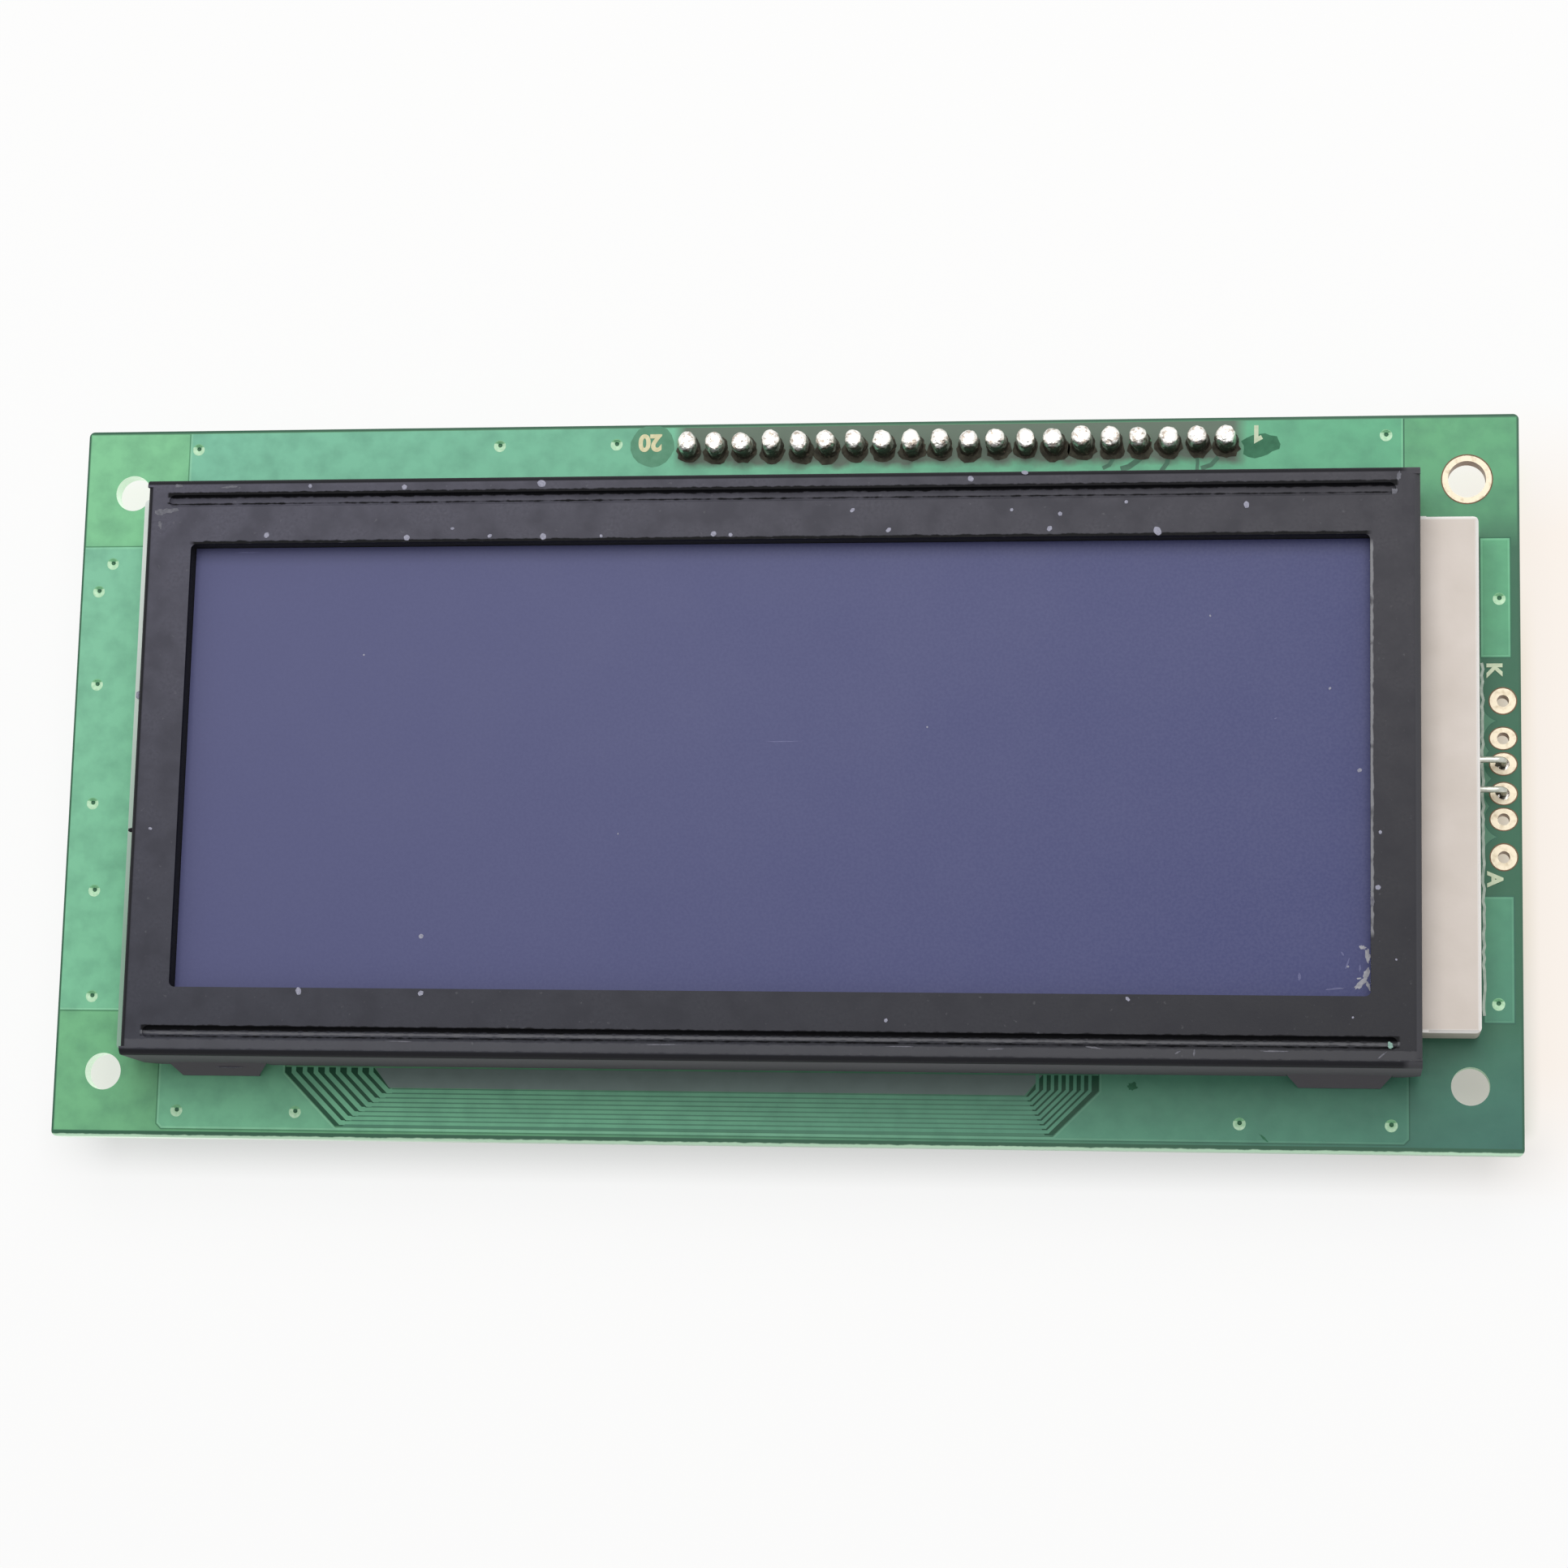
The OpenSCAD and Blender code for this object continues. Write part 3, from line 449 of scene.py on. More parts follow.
@dataclass(frozen=True)
class BlackSteel(Finish):
    """Black oxide on pressed steel sheet: a dusty, mottled face with painted light, painted shade on the
    folds, in the bead grooves, above the window and on the cut edges, a painted highlight on the lower lip,
    walls painted paler by bounce light, and scuffed spots and paler lines along the window and the lower
    bead.
    """

    # Corner colours of the face, which carry painted light: paler at the top left, darker at the lower right.
    top: Tuple[Colour, Colour] = (srgb(93, 92, 104), srgb(79, 78, 83))
    low: Tuple[Colour, Colour] = (srgb(67, 68, 76), srgb(54, 54, 57))
    dark: Colour = srgb(48, 48, 54)
    # Walls painted paler grey as if lit by light bounced from the board and floor.
    wall: Colour = srgb(100, 97, 102)
    # Paler colour for scuffed spots, the lines along the window's right edge and the lower bead, and the
    # painted highlight on the lower lip.
    wear_and_highlight: Colour = srgb(134, 134, 138)
    # Black of the painted shade in the grooves, above the window and on the cut edges.
    painted_shade_black: Colour = srgb(9, 9, 12)
    # Folds painted dark as shade, paler on the right side.
    fold: Colour = srgb(32, 32, 36)
    right_fold: Colour = srgb(74, 74, 78)
    half_w: float = 56.25
    half_h: float = 25.8
    middle: float = -0.15
    fold_w: Range = (0.9, 0.8)
    fold_x: Range = (54.6, 55.2)
    fold_z: Range = (8.0, 8.2)
    bead_end: Range = (54.45, 54.25)
    groove_shade_lines: Tuple[Place, ...] = ((24.2, 0.28), (23.46, 0.11), (-23.56, 0.26), (-24.28, 0.11))
    crest: Place = (-23.98, 0.16)
    lip: Place = (-25.0, 0.45)
    window_right: Place = (52.08, 0.2)
    window_top: Place = (19.8, 0.2)
    window_ends: Range = (52.18, 51.68)
    edge_line_y: float = 2.1
    edge_line_half: Range = (17.2, 16.6)
    cloud_share: float = 0.4
    grain_share: float = 0.3
    spot_share: float = 0.3
    crest_share: float = 0.45
    lip_share: float = 0.16

    def band(self, shader: Shader, axis: Axis, middle: float, half: float) -> Socket:
        """1 inside a narrow band across an axis, with a slightly wavy edge."""
        edge = shader.total(shader.off(axis, middle), shader.wave(size=0.7, swing=0.3))
        return shader.span(edge, half, half - 0.1)

    def face(self, shader: Shader) -> Socket:
        """Coat with painted light, paler towards the top left and darker towards the lower right, with fine
        grain and clouds.
        """
        even = shader.corners((self.half_w, self.half_h), self.top, self.low)
        clouds = shader.times(shader.patches(size=3.0, detail=5.0, low=0.36, high=0.64), self.cloud_share)
        grain = shader.times(shader.patches(size=0.3, detail=3.0, low=0.3, high=0.75), self.grain_share)
        return shader.mix(shader.most(clouds, grain), even, self.dark)

    def paler_marks(self, shader: Shader, inside: Socket) -> Socket:
        """1 where the coat is paler: scuffed spots, a line along the window's right edge and a line on the
        crest of the lower bead.
        """
        spots = shader.times(shader.patches(size=0.5, detail=4.0, low=0.67, high=0.8), self.spot_share)
        edge = self.band(shader, Axis.X, *self.window_right)
        length = shader.ramp_off(Axis.Y, self.edge_line_y, *self.edge_line_half)
        edge_line = shader.times(edge, shader.patches(size=1.8, detail=3.0, low=0.3, high=0.44), length)
        crest = shader.times(self.band(shader, Axis.Y, *self.crest), inside, self.crest_share)
        return shader.most(spots, edge_line, crest)

    def paint(self, shader: Shader) -> None:
        """Coat of the face with painted shade in the grooves, above the window, on the folds and on the cut
        edges, and walls painted a paler grey by bounce light.
        """
        inside = shader.ramp_off(Axis.X, 0.0, *self.bead_end)
        coat = shader.mix(self.paler_marks(shader, inside), self.face(shader), self.wear_and_highlight)
        # Painted shade: black lines in the bead grooves, where their walls fall in shadow.
        for line in self.groove_shade_lines:
            coat = shader.mix(shader.times(self.band(shader, Axis.Y, *line), inside), coat, self.painted_shade_black)
        # Painted highlight along the top of the lower fold.
        lip = shader.times(self.band(shader, Axis.Y, *self.lip), self.lip_share)
        coat = shader.mix(lip, coat, self.wear_and_highlight)
        # Painted shade along the window's top edge, where its inner wall lies in shadow.
        above = shader.times(self.band(shader, Axis.Y, *self.window_top),
                             shader.ramp_off(Axis.X, 0.0, *self.window_ends))
        coat = shader.mix(above, coat, self.painted_shade_black)
        up = shader.math("ABSOLUTE", shader.facing(Axis.Z))
        outer = shader.most(
            shader.ramp_off(Axis.X, 0.0, *(self.half_w - part for part in self.fold_w)),
            shader.ramp_off(Axis.Y, self.middle, *(self.half_h - part for part in self.fold_w)),
        )
        # Painted light on the steep faces: the folds take painted shade, the walls below a paler grey lit by
        # bounce light.
        steep = shader.times(outer, shader.span(up, 0.98, 0.92))
        fold = shader.mix(shader.ramp(Axis.X, *self.fold_x), self.fold, self.right_fold)
        coat = shader.mix(steep, coat, shader.mix(shader.ramp(Axis.Z, *self.fold_z), self.wall, fold))
        # Painted shade on the cut edges inside the outline.
        inner = shader.times(shader.math("SUBTRACT", 1.0, outer), shader.span(up, 0.2, 0.1))
        shader.dress(base_color=shader.mix(inner, coat, self.painted_shade_black), ior=1.5, specular_ior_level=0.1)
        shader.dress(roughness=shader.linear(shader.noise(size=0.3, detail=3.0), gain=0.14, start=0.5))
        shader.bump(shader.noise(size=0.25, detail=3.0), depth=0.012)


@dataclass(frozen=True)
class Film(Finish):
    """Smooth film or plastic: a base colour with faint clouds, optionally clear."""

    tint: Colour
    shade: Colour
    roughness: float = 0.4
    clouds: float = 4.0
    transmission: float = 0.0
    depth: float = 0.004
    shine: float = 0.25

    def paint(self, shader: Shader) -> None:
        """Faintly clouded colour with an uneven polish."""
        clouds = shader.patches(size=self.clouds, detail=4.0, low=0.3, high=0.7)
        shader.dress(base_color=shader.mix(clouds, self.tint, self.shade), ior=1.5)
        shader.dress(specular_ior_level=self.shine, transmission_weight=self.transmission)
        shader.dress(roughness=shader.linear(clouds, gain=0.1, start=self.roughness))
        shader.bump(shader.noise(0.1 * self.clouds), self.depth)


@dataclass(frozen=True)
class Polariser(Finish):
    """Blue-violet film of the display, with painted light making it paler towards the top left."""

    near: Colour = srgb(85, 87, 125)
    far: Colour = srgb(63, 67, 113)
    haze: Colour = srgb(90, 93, 132)
    reach: float = 50.0
    haze_share: float = 0.25

    def paint(self, shader: Shader) -> None:
        """Blue with painted light, paler towards the top left, under a faint woven haze."""
        # Painted light: paler towards the top left, darker towards the lower right.
        blue = shader.mix(shader.ramp(Axis.CORNER_TO_CORNER, -self.reach, self.reach), self.near, self.far)
        haze = shader.times(shader.patches(size=0.25, detail=2.0, low=0.35, high=0.65), self.haze_share)
        shader.dress(base_color=shader.mix(haze, blue, self.haze), ior=1.45, specular_ior_level=0.25)
        shader.dress(roughness=shader.linear(shader.noise(size=8.0), gain=0.1, start=0.36))
        shader.bump(shader.noise(size=0.3), depth=0.002)


@dataclass(frozen=True)
class Tipped(Finish):
    """Body with tinned ends, for chips and packages in a row along X."""

    body: Colour
    shade: Colour
    row_y: float
    body_half: float
    tin: Colour = srgb(196, 196, 192)

    def paint(self, shader: Shader) -> None:
        """Dull body inside the row's half width, tin beyond it."""
        tip = shader.ramp_off(Axis.Y, self.row_y, self.body_half - 0.01, self.body_half + 0.01)
        grain = shader.noise(size=0.25, detail=3.0)
        body = shader.mix(grain, self.body, self.shade)
        shader.dress(base_color=shader.mix(tip, body, self.tin), metallic=tip)
        shader.dress(roughness=shader.linear(tip, gain=-0.3, start=0.6))
        shader.bump(grain, depth=0.006)


@dataclass(frozen=True)
class Layered(Finish):
    """Contact strip of thin light and dark layers along X."""

    dark: Colour = srgb(40, 40, 42)
    pale: Colour = srgb(176, 170, 160)
    layer: float = 0.18

    def paint(self, shader: Shader) -> None:
        """Alternate layers across the strip."""
        wave = shader.math("SINE", shader.times(shader.along(Axis.X), math.tau / self.layer))
        shader.dress(base_color=shader.mix(shader.span(wave, -0.2, 0.2), self.dark, self.pale))
        shader.dress(roughness=shader.linear(shader.noise(size=0.4), gain=0.1, start=0.6))


@dataclass(frozen=True)
class TailPlastic(Finish):
    """White moulded backlight tray, with painted highlight rims round the top of its tail and painted shade
    on its left end.
    """

    body: Colour = srgb(219, 208, 199)
    shade: Colour = srgb(211, 200, 190)
    # Colour of the painted highlight rims.
    rim: Colour = srgb(248, 245, 241)
    left_top: Colour = srgb(230, 238, 232)
    left_low: Colour = srgb(142, 178, 156)
    right: float = 61.3
    half_h: float = 22.4
    middle: float = -0.15
    rim_w: float = 0.34
    left_x: Range = (-50.0, -55.0)
    left_y: Range = (-16.0, 20.0)

    def paint(self, shader: Shader) -> None:
        """Faint clouds, a painted highlight rim where the walls meet the roof, and on the left end painted
        shade with the board's reflected green, lighter towards its top.
        """
        clouds = shader.patches(size=5.0, detail=3.0, low=0.3, high=0.7)
        side = shader.ramp(Axis.X, self.right - self.rim_w, self.right - 0.5 * self.rim_w)
        end = shader.ramp_off(Axis.Y, self.middle, self.half_h - self.rim_w, self.half_h - 0.5 * self.rim_w)
        # Painted highlight along the rims of the tail's roof.
        rim = shader.times(shader.most(side, end), shader.upright())
        plastic = shader.mix(rim, shader.mix(clouds, self.body, self.shade), self.rim)
        # Painted shade and reflected green on the left end, lighter towards its top.
        left = shader.mix(shader.ramp(Axis.Y, *self.left_y), self.left_low, self.left_top)
        shader.dress(base_color=shader.mix(shader.ramp(Axis.X, *self.left_x), plastic, left), ior=1.46)
        shader.dress(roughness=shader.linear(clouds, gain=0.1, start=0.42))
        shader.bump(shader.noise(size=0.3, detail=3.0), depth=0.006)


class Finishes:
    """The module's finishes."""

    # The lacquers' corner colours carry painted light, brighter at the top left and darker at the lower
    # right.
    MASK = BoardMask("green_lacquer", srgb(136, 206, 156), srgb(104, 176, 128),
                     srgb(120, 188, 138), srgb(66, 114, 102))
    COPPER = SolderMask("lacquer_on_copper", srgb(136, 200, 168), srgb(106, 184, 136),
                        srgb(130, 202, 160), srgb(76, 130, 112))
    FLUXED = FluxedMask("lacquer_under_flux", srgb(132, 200, 170), srgb(102, 182, 138),
                        srgb(130, 202, 160), srgb(76, 130, 112))
    # Painted shadow along the copper fills' edges and a painted highlight on their rims.
    COPPER_EDGE_SHADOW = SolderMask("painted_shadow_beside_copper", srgb(98, 160, 120), srgb(52, 110, 80),
                             srgb(88, 148, 108), srgb(60, 106, 90))
    COPPER_RIM_HIGHLIGHT = SolderMask("painted_highlight_on_copper_rim", srgb(146, 210, 176), srgb(124, 202, 154),
                            srgb(148, 216, 174), srgb(84, 138, 118))
    DULL_COPPER = SolderMask("dull_lacquer", srgb(92, 146, 116), srgb(88, 140, 112),
                             srgb(92, 146, 116), srgb(86, 136, 110))
    BED = SolderMask("lacquer_between_tracks", *(srgb(88, 142, 116), srgb(80, 130, 106)) * 2)
    FAN_BED = SolderMask("lacquer_in_fan", *(srgb(34, 84, 60), srgb(30, 78, 56)) * 2)
    BARE_BAND = SolderMask("grey_lacquer", *(srgb(126, 144, 140), srgb(116, 132, 128)) * 2, gloss=0.5)
    GOLD = Plating("gold_land", srgb(214, 202, 178), srgb(196, 180, 152), srgb(150, 112, 80), metallic=0.2)
    PAD_EDGE = Film("pad_edge", srgb(128, 92, 62), srgb(104, 82, 58), clouds=0.4)
    # Lit and shaded copies of the via lacquer: a painted highlight, painted shade, and painted shade in the
    # dimple's middle.
    VIA_LIT = Film("via_land_lit", srgb(206, 242, 206), srgb(174, 222, 180), 0.3, clouds=0.3)
    VIA_LAND_SHADED = Film("via_land", srgb(132, 194, 146), srgb(112, 176, 128), 0.3, clouds=0.3)
    VIA_HOLE_SHADE = Film("via_hole", srgb(56, 112, 80), srgb(44, 92, 66), 0.3, clouds=0.3)
    STEEL = BlackSteel("black_steel")
    POLARISER = Polariser("blue_polariser")
    # Black for the gasket, which stands in for the shade in the window's recess, and for a black burr.
    BLACK_FOAM_AND_SHADE = Film("black_foam", srgb(20, 20, 25), srgb(14, 14, 18), 0.7, clouds=0.6, depth=0.03)
    REAR_POLARISER = Film("rear_polariser", srgb(70, 72, 96), srgb(62, 64, 90))
    GLASS = Film("cell_glass", srgb(232, 240, 238), srgb(224, 236, 232), 0.05, transmission=1.0, shine=0.5)
    ELASTOMER = Layered("contact_layers")
    TRAY = TailPlastic("white_tray")
    WHITE_FILM = Film("white_film", srgb(238, 238, 236), srgb(230, 230, 228), 0.45)
    ACRYLIC = Film("clear_acrylic", srgb(244, 248, 248), srgb(238, 244, 246), 0.08,
                   transmission=1.0, shine=0.5)
    LAMINATE = Film("white_laminate", srgb(226, 226, 216), srgb(216, 216, 204))
    LED = Film("led_body", srgb(238, 232, 200), srgb(230, 222, 182), 0.35, clouds=1.0)
    WIRE = Metal("tinned_wire", srgb(206, 208, 198), srgb(176, 178, 168))
    JOINT = ScorchedAndShadedSolder("scorched_and_shaded_solder")
    SOLDER = Metal("solder", srgb(236, 233, 228), srgb(204, 198, 192), 0.16, 0.6, 0.01)
    HEADER = Film("header_plastic", srgb(36, 36, 38), srgb(28, 28, 30), 0.42, clouds=1.0, depth=0.01)
    PIN = Metal("pin_plating", srgb(226, 190, 112), srgb(206, 166, 92), 0.22)
    RESIN = Film("chip_resin", srgb(30, 30, 32), srgb(22, 22, 24), 0.28, clouds=2.0, depth=0.02)
    PACKAGE = Tipped("package", srgb(40, 40, 42), srgb(30, 30, 32), 15.0, 1.95)
    RESISTOR = Tipped("resistor", srgb(32, 32, 34), srgb(24, 24, 26), 22.0, 0.6)
    CAPACITOR = Tipped("capacitor", srgb(168, 138, 104), srgb(150, 120, 88), -18.0, 0.6)
    INK = Film("cream_ink", srgb(232, 226, 184), srgb(214, 208, 164), 0.5, clouds=0.4)
    PALE_INK = Film("pale_ink", srgb(212, 224, 194), srgb(196, 212, 180), 0.5, clouds=0.4)
    DARK_PATCHES = Film("dark_patches", srgb(80, 78, 66), srgb(54, 52, 44), 0.5, clouds=0.5, depth=0.02, shine=0.1)
    HAZE = Film("flux_haze", srgb(84, 130, 106), srgb(76, 114, 94), 0.3, clouds=0.8, shine=0.1)
    STAIN = Film("lacquer_stain", srgb(62, 124, 92), srgb(54, 108, 80), 0.34, clouds=0.8, shine=0.1)
    DISC = Film("lacquer_disc", srgb(84, 146, 114), srgb(76, 136, 104), 0.34, clouds=0.8)
    GLUE = Film("glue_line", srgb(200, 214, 202), srgb(164, 182, 170), 0.5, clouds=0.6, depth=0.02)
    DUST = Film("dust", srgb(170, 170, 186), srgb(138, 138, 154), 0.7, clouds=0.2)
    WORN = Film("worn_steel", srgb(118, 118, 126), srgb(92, 92, 100), 0.6, clouds=0.3, depth=0.01)
    MINT = Film("mint_fleck", srgb(150, 184, 172), srgb(118, 150, 140), 0.5, clouds=0.3)
    TORN = Film("torn_film", srgb(186, 186, 192), srgb(148, 148, 160), 0.5, clouds=0.4, depth=0.02)
    SCRATCH = Film("film_scratch", srgb(112, 114, 152), srgb(96, 98, 138), 0.5, clouds=0.4)


def finished(name: str, shape: BMesh, slot: str, *finishes: Finish, crease: float = 30.0) -> bpy.types.Object:
    """Turn a shape in millimetres into a piece that rides on the module.

    Args:
        name: the piece's name.
        shape: its bmesh, freed here.
        slot: not used.
        finishes: finishes in the order of the faces' material numbers.
        crease: edges sharper than this angle, in degrees, stay sharp.

    Returns:
        The new object.
    """
    bmesh.ops.remove_doubles(shape, verts=shape.verts, dist=1e-5)
    bmesh.ops.recalc_face_normals(shape, faces=shape.faces)
    bmesh.ops.scale(shape, vec=(MM, MM, MM), verts=shape.verts)
    mesh = bpy.data.meshes.new(name)
    shape.to_mesh(mesh)
    shape.free()
    for finish in finishes:
        mesh.materials.append(finish.material())
    mesh.shade_smooth()
    mesh.set_sharp_from_angle(angle=math.radians(crease))
    piece = linked(name, mesh)
    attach(piece, BODY)
    log.info("%s: %d faces", name, len(mesh.polygons))
    return piece


def linked(name: str, data: bpy.types.ID) -> bpy.types.Object:
    """Put data into the scene as an object."""
    item = bpy.data.objects.new(name, data)
    bpy.context.scene.collection.objects.link(item)
    return item


def merge(shape: BMesh, part: BMesh) -> None:
    """Add a part to a shape and free the part."""
    mesh = bpy.data.meshes.new("part")
    part.to_mesh(mesh)
    part.free()
    shape.from_mesh(mesh)
    bpy.data.meshes.remove(mesh)


def turned(profile: Outline, steps: int, closed: bool = False) -> BMesh:
    """Spin a profile about Z.

    Args:
        profile: radius and height of each point.
        steps: facets of the full turn.
        closed: join the last point to the first.

    Returns:
        The turned shape.
    """
    shape = bmesh.new()
    verts = [shape.verts.new((radius, 0.0, z)) for radius, z in profile]
    edges = [shape.edges.new(pair) for pair in zip(verts, verts[1:])]
    if closed:
        edges.append(shape.edges.new((verts[-1], verts[0])))
    bmesh.ops.spin(shape, geom=verts + edges, cent=(0, 0, 0), axis=Axis.Z.value, angle=math.tau, steps=steps,
                   use_merge=True)
    bmesh.ops.remove_doubles(shape, verts=shape.verts, dist=1e-4)
    return shape


def raise_face(shape: BMesh, base: BMFace, height: float) -> Sequence[BMVert]:
    """Extrude a face upwards into a closed plate and give the corners of its top."""
    raised = bmesh.ops.extrude_face_region(shape, geom=[base], use_keep_orig=True)["geom"]
    moved = [item for item in raised if isinstance(item, BMVert)]
    bmesh.ops.translate(shape, vec=(0, 0, height), verts=moved)
    return moved


def plate(shape: BMesh, outline: Outline, low: float, high: float, shrink: float = 0.0) -> None:
    """Raise a closed plate from an outline.

    Args:
        shape: the bmesh that takes it.
        outline: corners in order.
        low: height of its underside.
        high: height of its top.
        shrink: how far its sides stand back from the outline.
    """
    base = shape.faces.new([shape.verts.new((x, y, low)) for x, y in outline])
    if shrink:
        base.normal_update()
        rim = bmesh.ops.inset_region(shape, faces=[base], thickness=shrink, use_even_offset=True,
                                     use_boundary=True)["faces"]
        bmesh.ops.delete(shape, geom=rim, context="FACES")
    raise_face(shape, base, high - low)


def placed(place: Sequence[float], size: Sequence[float], turn: float) -> Matrix:
    """Matrix that sizes a unit shape, turns it about Z by so many degrees and sets it in its place."""
    turning = Matrix.Rotation(math.radians(turn), 4, "Z")
    return Matrix.Translation(place) @ turning @ Matrix.Diagonal((*size, 1.0))


def blot(shape: BMesh, where: Matrix, chance: random.Random, ragged: float = 0.2, corners: int = 18) -> None:
    """Add a thin patch with a ragged round outline.

    Args:
        shape: the bmesh that takes it.
        where: matrix of its place, size and turn.
        chance: source of its unevenness.
        ragged: how far the outline strays, as a share of its radius.
        corners: corners of the outline.
    """
    ring = bmesh.ops.create_circle(shape, cap_ends=True, segments=corners, radius=0.5)["verts"]
    for vert in ring:
        vert.co *= chance.uniform(1 - ragged, 1 + ragged)
    top = raise_face(shape, ring[0].link_faces[0], 1.0)
    bmesh.ops.transform(shape, matrix=where, verts=list(ring) + list(top))


def flake(shape: BMesh, where: Matrix) -> None:
    """Add one small flake of dust or bare metal to a shape."""
    bmesh.ops.create_icosphere(shape, subdivisions=1, radius=0.5, matrix=where)


def box_outline(left: float, right: float, bottom: float, top: float) -> Outline:
    """Corners of a rectangle."""
    return [(left, bottom), (right, bottom), (right, top), (left, top)]


def strip_outline(path: Outline, width: float) -> Outline:
    """Outline of a track of even width along a path.

    Args:
        path: points on the track's middle line.
        width: the track's width.

    Returns:
        The outline's corners in order.
    """
    points = [Vector(point) for point in path]
    sides = ([], [])
    for i, point in enumerate(points):
        before = (point - points[i - 1]).normalized() if i else None
        after = (points[i + 1] - point).normalized() if i + 1 < len(points) else None
        heading = ((before or after) + (after or before)).normalized()
        stretch = heading.dot(after or before)
        step = Vector((-heading.y, heading.x)) * (width / 2 / stretch)
        sides[0].append(tuple(point + step))
        sides[1].append(tuple(point - step))
    return sides[0] + sides[1][::-1]


def drill(shape: BMesh, rounds: Iterable[Round], facets: int = 28, depth: float = 2.0) -> BMesh:
    """Cut round clearances through a plate.

    Args:
        shape: the plate, freed here.
        rounds: centre and radius of each clearance.
        facets: corners of each round.
        depth: length of the drill, half of it above the board.

    Returns:
        The plate with the rounds cut out.
    """
    cutter = bmesh.new()
    for place, radius in rounds:
        bmesh.ops.create_cone(cutter, cap_ends=True, segments=facets, radius1=radius, radius2=radius,
                              depth=depth, matrix=Matrix.Translation((*place, 0)))
    objects = []
    for part in (shape, cutter):
        mesh = bpy.data.meshes.new("drilling")
        bmesh.ops.recalc_face_normals(part, faces=part.faces)
        part.to_mesh(mesh)
        part.free()
        objects.append(linked("drilling", mesh))
    cut = objects[0].modifiers.new("drill", "BOOLEAN")
    cut.operation = "DIFFERENCE"
    cut.solver = "EXACT"
    cut.use_self = True
    cut.object = objects[1]
    done = objects[0].evaluated_get(bpy.context.evaluated_depsgraph_get())
    result = bmesh.new()
    result.from_mesh(done.to_mesh())
    done.to_mesh_clear()
    for item in objects:
        mesh = item.data
        bpy.data.objects.remove(item)
        bpy.data.meshes.remove(mesh)
    return result


def lettering(shape: BMesh, text: str, height: float, place: Place, turn: float, thick: float,
              bold: float = 0.045) -> None:
    """Add raised letters to a shape.

    Args:
        shape: the bmesh that takes them.
        text: the letters.
        height: height of the line in millimetres.
        place: middle of the letters.
        turn: turn about Z, in degrees.
        thick: how far they stand up from the board.
        bold: how far the strokes are widened, as a share of the height.
    """
    curve = bpy.data.curves.new("mark", "FONT")
    curve.body = text
    curve.size = height
    curve.align_x = "CENTER"
    curve.align_y = "CENTER"
    curve.extrude = thick / 2
    curve.offset = bold * height
    curve.resolution_u = 6
    holder = linked("mark", curve)
    mesh = bpy.data.meshes.new_from_object(holder.evaluated_get(bpy.context.evaluated_depsgraph_get()))
    mesh.transform(placed((*place, thick / 2), (1.0, 1.0, 1.0), turn))
    shape.from_mesh(mesh)
    bpy.data.meshes.remove(mesh)
    bpy.data.objects.remove(holder)
    bpy.data.curves.remove(curve)


Looks = Tuple[Tuple[Finish, Tuple[str, ...]], ...]


@dataclass
class Dressed:
    """Sub-assembly whose CAD nodes keep their shapes and get their finishes."""

    looks: Looks

    def build(self) -> None:
        """Give each node its finish."""
        for finish, nodes in self.looks:
            for node in nodes:
                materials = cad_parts[node].data.materials
                materials.clear()
                materials.append(finish.material())
                log.info("%s: %s", node, finish.name)


